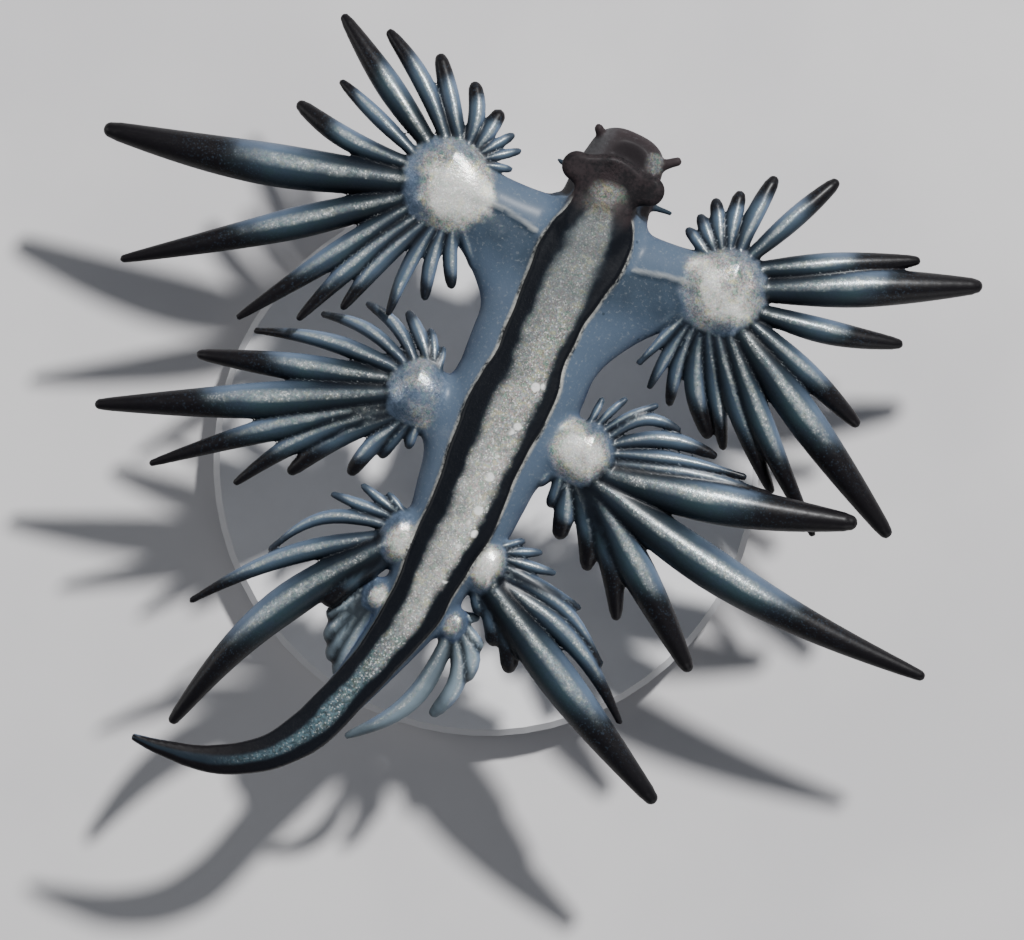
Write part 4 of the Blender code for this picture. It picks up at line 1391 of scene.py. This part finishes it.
@dataclass(frozen=True)
class WetSkin:
    """The colours of the living skin: silver, navy and pale blue under a wet gloss, with highlights, glints
    and shade painted into them.
    """

    silver: tuple = paint(222, 222, 214)
    # bright is the white of the painted highlights and glints.
    bright: tuple = paint(255, 255, 250)
    pewter: tuple = paint(96, 102, 104)
    navy: tuple = paint(10, 13, 19)
    ink: tuple = paint(14, 12, 15)
    slate: tuple = paint(34, 46, 56)
    powder: tuple = paint(74, 88, 105)
    # shade is the painted shade behind the web crests, and also the grey among the cheek's silver patch.
    shade: tuple = paint(38, 50, 62)
    deep_blue: tuple = paint(28, 46, 78)
    steel: tuple = paint(56, 70, 84)
    teal: tuple = paint(48, 66, 72)
    lilac: tuple = paint(96, 112, 134)
    brown: tuple = paint(38, 31, 33)
    plum: tuple = paint(48, 41, 43)
    glaucous: tuple = paint(88, 118, 130)
    frost: tuple = paint(180, 200, 210)
    # mouth is the painted shade in the mouth's hollow.
    mouth: tuple = paint(24, 19, 22)
    dorsal: tuple = paint(140, 150, 164)

    # The scales of the skin's patterns, per metre: noises first, then the two sorts of cells.
    sway: float = 240.0
    islands: float = 420.0
    clouds: float = 900.0
    patches: float = 2300.0
    fine: float = 6000.0
    freckles: float = 1500.0
    grains: float = 15000.0
    # The silver patch between the lobes: its middle in metres, and how fast it fades to each side.
    glow_at: tuple = (-0.00027, 0.01398)
    glow_fade: tuple = (1100.0, 1700.0)
    neck_x: float = -0.00035

    def build(self) -> bpy.types.Material:
        """Makes the skin's material.

        Returns:
            The material.
        """
        g = Graph("wet_skin")
        islands = g.noise(self.islands)
        clouds = g.noise(self.clouds, 3.0)
        patches = g.noise(self.patches)
        fine = g.noise(self.fine, 3.0, rough=0.65)
        _, hue, glitter, spark = g.cells(self.grains)
        spark = spark.step(0.80, 0.98)
        silver = self._silver(g, hue, glitter, patches)
        granules = glitter * 0.5 + fine * 0.5

        base = self._arms(g, islands, clouds, fine, silver, spark)
        sole, on_sole, band = self._sole(g, islands, clouds, fine, silver, spark)
        base = g.mix(on_sole, base, sole)
        ceras, is_ceras, ridge = self._cerata(g, clouds, fine, silver, spark)
        base = g.mix(is_ceras, base, ceras)
        base = self._head(g, base, clouds, fine, silver)

        dome, _, _ = g.marks("spot")
        snout, collar, _ = g.marks("head_marks")
        head = (snout + collar).least(1.0)
        shine = (on_sole * band + dome * (1.0 - is_ceras) + is_ceras * ridge).least(1.0)
        web = 1.0 - (on_sole + dome + is_ceras + head).least(1.0)
        height = granules * (shine * 0.8 + 0.2) + clouds * 0.8
        bump = g.node("ShaderNodeBump", {}, {"Strength": 0.6, "Distance": 0.00006, "Height": height})
        return g.finish(
            base_color=base,
            roughness=0.44 - shine * 0.14 + (fine - 0.5) * 0.16 + head * 0.24 + web * 0.22,
            metallic=shine * 0.35, normal=bump.outputs[0],
            coat_weight=0.10 - head * 0.085, coat_roughness=0.28, ior=1.38, specular_ior_level=0.25,
        )

    def _silver(self, g: Graph, hue: Value, glitter: Value, patches: Value) -> bpy.types.NodeSocket:
        """The silver, whose grains are tinted green, rose or straw and light or dull.

        Args:
            g: The skin's material.
            hue: A chance number of each grain, for its tint.
            glitter: Another, for its lightness.
            patches: The noise of its broader sheen.

        Returns:
            The silver's colour.
        """
        tint = g.node("ShaderNodeValToRGB", {"stops": (
            (0.0, paint(255, 238, 240)), (0.25, paint(230, 255, 236)), (0.5, paint(240, 246, 255)),
            (0.75, paint(255, 234, 248)), (1.0, paint(255, 250, 224)))}, {"Fac": hue}).outputs["Color"]
        sheen = g.node("ShaderNodeValToRGB", {"stops": (
            (0.34, paint(210, 242, 224)), (0.45, paint(255, 234, 230)), (0.53, paint(230, 241, 250)),
            (0.64, paint(255, 248, 214)))}, {"Fac": patches}).outputs["Color"]
        grey = g.mix((glitter * 0.6 + patches * 0.8 - 0.1).least(1.0).most(0.0), self.pewter, self.silver)
        return g.mix(1.0, g.mix(1.0, grey, tint, "MULTIPLY"), sheen, "MULTIPLY")

    def _arms(self, g: Graph, islands: Value, clouds: Value, fine: Value, silver: object,
              spark: Value) -> bpy.types.NodeSocket:
        """The flanks, the webs with their pale crests and painted shade behind them, and the hubs with a
        painted highlight on their silver.

        Args:
            g: The skin's material.
            islands: The broadest of the shared noises.
            clouds: The middle one.
            fine: The finest.
            silver: The silver's colour.
            spark: Where single grains flash.

        Returns:
            The colour.
        """
        dome, crest, low_flank = g.marks("spot")
        shine, behind, _ = g.marks("web_marks")
        flank = g.mix((low_flank + (clouds - 0.5) * 0.6).step(0.0, 0.7), self.powder, self.deep_blue)
        # Painted shade: the web behind its crest, which slopes away from the light, is darkened.
        flank = g.mix((behind * (clouds + 0.45)).least(1.0) * 0.85, flank, self.shade)
        flank = g.mix(fine.step(0.54, 0.76) * 0.10, flank, self.silver)
        flank = g.mix(g.upward().step(-0.2, -0.7), flank, self.dorsal)
        near, chosen, _, _ = g.cells(self.freckles)
        freckle = near.step(0.14, 0.08) * chosen.step(0.90, 0.93)
        flank = g.mix(freckle * 0.7, flank, self.slate)
        ragged = shine + (islands - 0.5) * 2.0 + (clouds - 0.5) * 1.0 + (fine - 0.5) * 0.5
        outer = g.mix((clouds * 0.5 + fine * 0.5).step(0.35, 0.65), self.powder, self.lilac)
        hub = g.mix(ragged.step(0.0, 0.9), outer, silver)
        # Painted highlight: the brightest part of the hub's silver is mixed to white, flashing in single
        # grains.
        hub = g.mix(ragged.step(0.55, 1.15) * (spark * 0.4 + 0.55), hub, self.bright)
        base = g.mix((dome + (islands - 0.5) * 1.0 + (clouds - 0.5) * 0.6).step(0.10, 0.8), flank, hub)
        return g.mix(crest * (clouds * 0.7 + 0.15) * 0.55, base, self.silver)

    def _sole(self, g: Graph, islands: Value, clouds: Value, fine: Value, silver: object,
              spark: Value) -> tuple[bpy.types.NodeSocket, Value, Value]:
        """The sole: a silver band between navy ones, with a thin pale line along each edge, a painted
        highlight toward its right side and painted glints.

        Args:
            g: The skin's material.
            islands: The broadest of the shared noises.
            clouds: The middle one.
            fine: The finest.
            silver: The silver's colour.
            spark: Where single grains flash.

        Returns:
            The colour, where the sole is, and where its silver is.
        """
        across, run, on_sole = g.marks("sole")
        half = run.step(0.0, 2.4, 0.36, 0.54) + g.noise(self.sway, 1.0) * 0.44 - 0.28
        half = half + run.step(18.0, 24.0, 0.0, -0.10) + run.step(26.0, 35.0, 0.0, -0.22)
        centre = run.step(2.0, 7.0) * run.step(18.0, 12.0) * 0.10 + 0.03
        inside = half - (across - centre).size() + (clouds - 0.5) * 0.30
        band = inside.step(-0.16, 0.14) * run.step(34.0, 29.0)
        haze = inside.step(-0.24, 0.06)
        dark = g.mix(haze * 0.6, g.mix(run.step(29.0, 34.0), self.navy, self.ink), self.slate)
        # lit: how bright the silver is, dimmer at the front and rear and in clouds.
        lit = run.step(1.0, 13.0, 0.24, 1.0) * run.step(22.0, 31.0, 1.0, 0.30)
        lit = lit * (clouds * 0.6 + fine * 0.4).step(0.34, 0.58, 0.45, 1.0)
        # Painted highlight: the silver grows brighter toward the sole's right side, on the side of the light.
        lit = lit * across.step(-0.50, 0.25, 0.55, 1.0)
        dull = g.mix(lit, g.mix(run.step(19.0, 26.0), self.pewter, self.teal), silver)
        sea_green = g.mix(fine.step(0.35, 0.65), self.teal, self.glaucous)
        dull = g.mix(run.step(19.0, 27.0) * 0.75, dull, sea_green)
        # Painted highlight: the middle of the silver is mixed toward white where it is brightest.
        dull = g.mix(lit * run.step(8.0, 16.0) * run.step(24.0, 20.0) * 0.24, dull, self.bright)
        sole = g.mix(band, dark, dull)
        # Painted glints: single grains flash white where the silver is brightest.
        sole = g.mix(band * spark * lit * 0.8, sole, self.bright)
        # Painted glints: round white flashes in clusters along the right edge of the silver.
        glint_zone = across.step(0.14, 0.34) * across.step(0.66, 0.52) * run.step(23.0, 19.0) * run.step(3.0, 5.0)
        near, chosen, _, _ = g.cells(self.freckles)
        flare = near.step(0.40, 0.26) + near.step(0.65, 0.2) * spark * 0.9
        flare = flare * chosen.step(0.34, 0.38) * glint_zone * (islands + clouds * 0.3).step(0.57, 0.63)
        sole = g.mix(flare.least(1.0), sole, self.bright)
        rim = across.size().step(0.97, 1.0) * run.step(26.0, 19.0)
        sole = g.mix(rim * (fine * 0.5 + clouds * 0.5).step(0.36, 0.60) * 0.55, sole, self.silver)
        return sole, on_sole, band

    def _cerata(self, g: Graph, clouds: Value, fine: Value, silver: object,
                spark: Value) -> tuple[bpy.types.NodeSocket, Value, Value]:
        """The cerata: a granular silver crest set toward the light as a painted highlight, with painted
        glints, a lilac band painted on the side of the light, painted shade on the far side and between
        cerata, dark roots and tips, steel blue between.

        Args:
            g: The skin's material.
            clouds: The middle one of the shared noises.
            fine: The finest.
            silver: The silver's colour.
            spark: Where single grains flash.

        Returns:
            The colour, where the cerata are, and where their crests are.
        """
        along, side, up = g.marks("ceras")
        is_ceras, girth, cap = g.marks("ceras_kind")
        _, _, apart = g.marks("web_marks")
        big = girth.step(0.55, 1.35)
        tip = 0.86 - big * cap * 0.29
        # The dark tip starts a little sooner on the side away from the light, as painted shade.
        to_tip = tip - along + (clouds - 0.5) * 0.10 + side * 0.05
        ceras = g.mix((clouds * 0.6 + fine * 0.4).step(0.35, 0.62), self.steel, self.teal)
        ceras = g.mix((1.0 - big) * 0.42, ceras, self.lilac)
        # Painted light: the cerata of the last arms, whose tips are light, are lightened toward frost and get
        # less painted shade on their far side.
        pearl_light = cap.step(0.6, 0.35)
        ceras = g.mix(pearl_light * 0.40, ceras, self.frost)
        # Painted shade: the side of each ceras away from the light is darkened toward navy.
        ceras = g.mix(side.step(0.05, -0.85) * (0.52 - pearl_light * 0.25), ceras, self.navy)
        # Painted light: a lilac band lightens the middle of each ceras on the side of the light.
        middle = along.step(0.16, 0.42) * to_tip.step(-0.02, 0.10)
        ceras = g.mix(side.step(0.30, 0.85) * middle * 0.75, ceras, self.lilac)
        # The lilac band before the tip is painted on the side of the light only.
        before_tip = to_tip.step(0.22, 0.09) * to_tip.step(-0.01, 0.07) * side.step(-0.1, 0.45)
        ceras = g.mix(before_tip * 0.55, ceras, self.lilac)
        # The roots are navy, and are left a little lighter on top as painted light.
        root = (along + (clouds - 0.5) * 0.2).step(0.58, 0.10) * (1.0 - up.step(0.6, 1.0) * 0.25)
        ceras = g.mix(root * (big * 0.3 + 0.65), ceras, self.navy)
        # Painted shade: navy where two cerata lie close, in the groove between them.
        ceras = g.mix((1.0 - apart) * 0.85, ceras, self.navy)
        ceras = g.mix(up.step(-0.25, -0.8) * 0.6, ceras, self.dorsal)
        # The crest is the skin's silver, set off-centre toward the light as a painted highlight; its
        # brightest grains are painted white glints.
        wander = (clouds - 0.5) * 0.22
        off = (side - along.step(0.0, 0.6, 0.12, 0.30) + wander).size()
        width = along.step(0.0, 0.45, 0.06, 0.14) - along.step(0.45, 0.85, 0.0, 0.08)
        ridge = (width - off).step(-0.30, 0.12) * up.step(0.0, 0.5) * to_tip.step(-0.06, 0.14) * apart
        strength = along.step(0.02, 0.40, 0.40, 1.0) * (fine * 0.9 + 0.20)
        ceras = g.mix(ridge * strength * 0.80, ceras, g.mix(0.5, silver, self.frost))
        glint = ridge * (clouds + fine - 0.5).step(0.40, 0.70) * (spark * 0.6 + 0.12)
        ceras = g.mix(glint, ceras, self.bright)
        dark = g.mix(spark * to_tip.step(-0.30, 0.0) * 0.35, self.ink, self.steel)
        capped = girth.step(0.30, 0.75, 0.45, 1.0) * (cap * 0.8 + 0.35).least(1.0)
        ceras = g.mix(to_tip.step(0.20, -0.06) * capped, ceras, dark)
        return ceras, is_ceras, ridge

    def _head(self, g: Graph, base: object, clouds: Value, fine: Value,
              silver: object) -> bpy.types.NodeSocket:
        """The head: brown-black lobes and snout, a silver patch on one cheek and painted shade in the mouth.

        Args:
            g: The skin's material.
            base: The colour of the rest of the skin.
            clouds: The middle one of the shared noises.
            fine: The finest.
            silver: The silver's colour.

        Returns:
            The colour of the skin with its head.
        """
        snout, collar, feeler = g.marks("head_marks")
        patch, mouth, left_cheek = g.marks("face_marks")
        mottle = clouds * 0.5 + fine * 0.5
        face = g.mix(mottle.step(0.38, 0.62), self.brown, self.plum)
        face = g.mix(left_cheek * (fine * 0.7 + 0.1) * 0.5, face, self.pewter)
        face = g.mix(fine.step(0.60, 0.72) * 0.25, face, self.pewter)
        dusty = g.mix(fine * 0.7, self.shade, silver)
        face = g.mix((patch + (fine - 0.5) * 0.8).step(0.2, 1.0) * 0.65, face, dusty)
        # Painted shade: the mouth's shallow hollow is given a near-black colour in place of the shade inside
        # it.
        face = g.mix((mouth + (clouds - 0.5) * 0.3).step(0.05, 0.8), face, self.mouth)
        base = g.mix(snout, base, face)
        lobe = g.mix(mottle.step(0.40, 0.62), self.ink, self.brown)
        x, y, _ = g.split(g.place())
        dx, dy = ((way - at) * fade for way, at, fade in zip((x, y), self.glow_at, self.glow_fade))
        glow = (dx * dx + dy * dy + (clouds - 0.5) * 1.3 + (fine - 0.5) * 0.9).step(1.45, -0.35)
        neck = (x - self.neck_x).size().step(0.00115, 0.00025) * y.step(0.0143, 0.0128)
        lobe = g.mix((glow * 0.46).most(neck * 0.18) * (fine * 0.8 + 0.5), lobe, silver)
        base = g.mix(collar, base, lobe)
        tentacle = g.mix(mottle.step(0.4, 0.6), self.brown, self.plum)
        return g.mix(feeler, base, g.mix(y.step(0.0152, 0.0146), tentacle, self.slate))


@dataclass(frozen=True)
class SatinLacquer:
    """White satin lacquer on the base, with the faint mottle of a sprayed coat and painted shade on its
    bevelled edge.
    """

    white: tuple = paint(222, 221, 222)
    worn: tuple = paint(214, 213, 214)
    # edge is the painted shade of the bevel.
    edge: tuple = paint(176, 176, 178)

    def build(self) -> bpy.types.Material:
        """Makes the lacquer.

        Returns:
            The material.
        """
        g = Graph("satin_lacquer")
        mottle = g.noise(380.0, 3.0)
        orange_peel = g.noise(2600.0)
        bump = g.node("ShaderNodeBump", {}, {"Strength": 0.12, "Distance": 0.00003, "Height": orange_peel})
        colour = g.mix(mottle.step(0.3, 0.7), self.white, self.worn)
        # Painted shade: where the surface turns from level, at the bevelled edge, it is darker grey.
        return g.finish(base_color=g.mix(g.upward().step(0.98, 0.90), colour, self.edge),
                        roughness=0.38 + (mottle - 0.5) * 0.12, normal=bump.outputs[0], coat_weight=0.15)


@dataclass(frozen=True)
class BrushedRod:
    """Steel of the rods, brushed along their length."""

    steel: tuple = paint(176, 178, 182)
    dark: tuple = paint(142, 144, 150)

    def build(self) -> bpy.types.Material:
        """Makes the steel.

        Returns:
            The material.
        """
        g = Graph("brushed_rod")
        stretch = g.node("ShaderNodeMapping", {}, {"Vector": g.place(), "Scale": (1.0, 1.0, 0.04)})
        lines = g.noise(14000.0, at=stretch.outputs[0])
        return g.finish(base_color=g.mix(lines, self.dark, self.steel), metallic=1.0,
                        roughness=0.24 + lines * 0.16)


@dataclass(frozen=True)
class PaleFloor:
    """The plain matt floor."""

    light: tuple = paint(204, 202, 202)
    dim: tuple = paint(196, 194, 195)

    def build(self) -> bpy.types.Material:
        """Makes the floor's finish."""
        g = Graph("pale_floor")
        mottle = g.noise(60.0, 4.0)
        return g.finish(base_color=g.mix(mottle.step(0.35, 0.65), self.light, self.dim), roughness=0.75)


class Stand:
    """The base and rods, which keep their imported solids."""

    def dress(self) -> None:
        """Gives the stand's nodes their finishes."""
        finishes = {"stand_base": SatinLacquer().build()}
        rod = BrushedRod().build()
        finishes |= {"stand_rod_front": rod, "stand_rod_rear": rod}
        for name, material in finishes.items():
            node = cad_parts[name]
            node.data.materials.clear()
            node.data.materials.append(material)


class Light(Enum):
    """The lamps: name, where each stands over the animal in metres, its size and its power."""

    KEY = ("key", (0.055, 0.33, 0.40), 0.045, 4.9)
    LEFT = ("left_fill", (-0.50, -0.12, 0.20), 0.30, 0.75)
    RIGHT = ("right_fill", (0.44, -0.26, 0.20), 0.30, 0.5)


@dataclass(frozen=True)
class Studio:
    """The floor, the lamps, the surrounding light and the camera."""

    floor_half: float = 0.9
    floor_flat: float = 0.7
    floor_rise: float = 0.25
    floor_steps: int = 41
    floor_drop: float = 0.00002
    air: tuple = paint(214, 226, 246)
    air_strength: float = 0.14
    # The camera looks straight down from far off, and is rolled so that the head points up and right.
    look_at: tuple = (0.00125, 0.00024)
    camera_height: float = 1.011
    lens: float = 744.9
    roll: float = 25.5

    def build(self) -> None:
        """Makes the whole studio."""
        self._floor()
        self._lamps()
        self._camera()

    def _floor(self) -> None:
        """A level sheet under everything, rolled up gently at its far edges."""
        steps = np.linspace(-1, 1, self.floor_steps)
        points = []
        for v in steps:
            for u in steps:
                edge = max(abs(u), abs(v))
                lift = self.floor_rise * (max(edge - self.floor_flat, 0.0) / (1 - self.floor_flat)) ** 2
                points.append((u * self.floor_half, v * self.floor_half, lift - self.floor_drop))
        n = len(steps)
        faces = [(r * n + c, r * n + c + 1, (r + 1) * n + c + 1, (r + 1) * n + c)
                 for r in range(n - 1) for c in range(n - 1)]
        mesh = bpy.data.meshes.new("floor")
        mesh.from_pydata(points, [], faces)
        mesh.shade_smooth()
        mesh.materials.append(PaleFloor().build())
        floor = bpy.data.objects.new("floor", mesh)
        bpy.context.scene.collection.objects.link(floor)

    def _lamps(self) -> None:
        """The lamps and the soft light from all round."""
        for lamp in Light:
            name, where, size, power = lamp.value
            data = bpy.data.lights.new(name, "AREA")
            data.shape = "DISK"
            data.size = size
            data.energy = power
            item = bpy.data.objects.new(name, data)
            item.location = where
            away = np.array(where) / np.linalg.norm(where)
            item.rotation_euler = (math.acos(away[2]), 0.0, math.atan2(away[1], away[0]) + math.pi / 2)
            bpy.context.scene.collection.objects.link(item)
        world = bpy.data.worlds.new("studio")
        world.use_nodes = True
        background = world.node_tree.nodes["Background"]
        background.inputs["Color"].default_value = self.air
        background.inputs["Strength"].default_value = self.air_strength
        bpy.context.scene.world = world

    def _camera(self) -> None:
        """The camera of the main view."""
        data = bpy.data.cameras.new("camera")
        data.lens = self.lens
        data.sensor_width = 36.0
        data.clip_start = 0.01
        camera = bpy.data.objects.new("camera", data)
        camera.location = (*self.look_at, self.camera_height)
        camera.rotation_euler = (0.0, 0.0, math.radians(self.roll))
        bpy.context.scene.collection.objects.link(camera)
        bpy.context.scene.camera = camera


def main() -> None:
    """Builds and dresses the model."""
    logging.basicConfig(level=logging.INFO, format="%(message)s")
    skin = SlugSkin().build()
    skin.data.materials.append(WetSkin().build())
    LOG.info("skin dressed")
    Stand().dress()
    Studio().build()


if __name__ == "__main__":
    main()
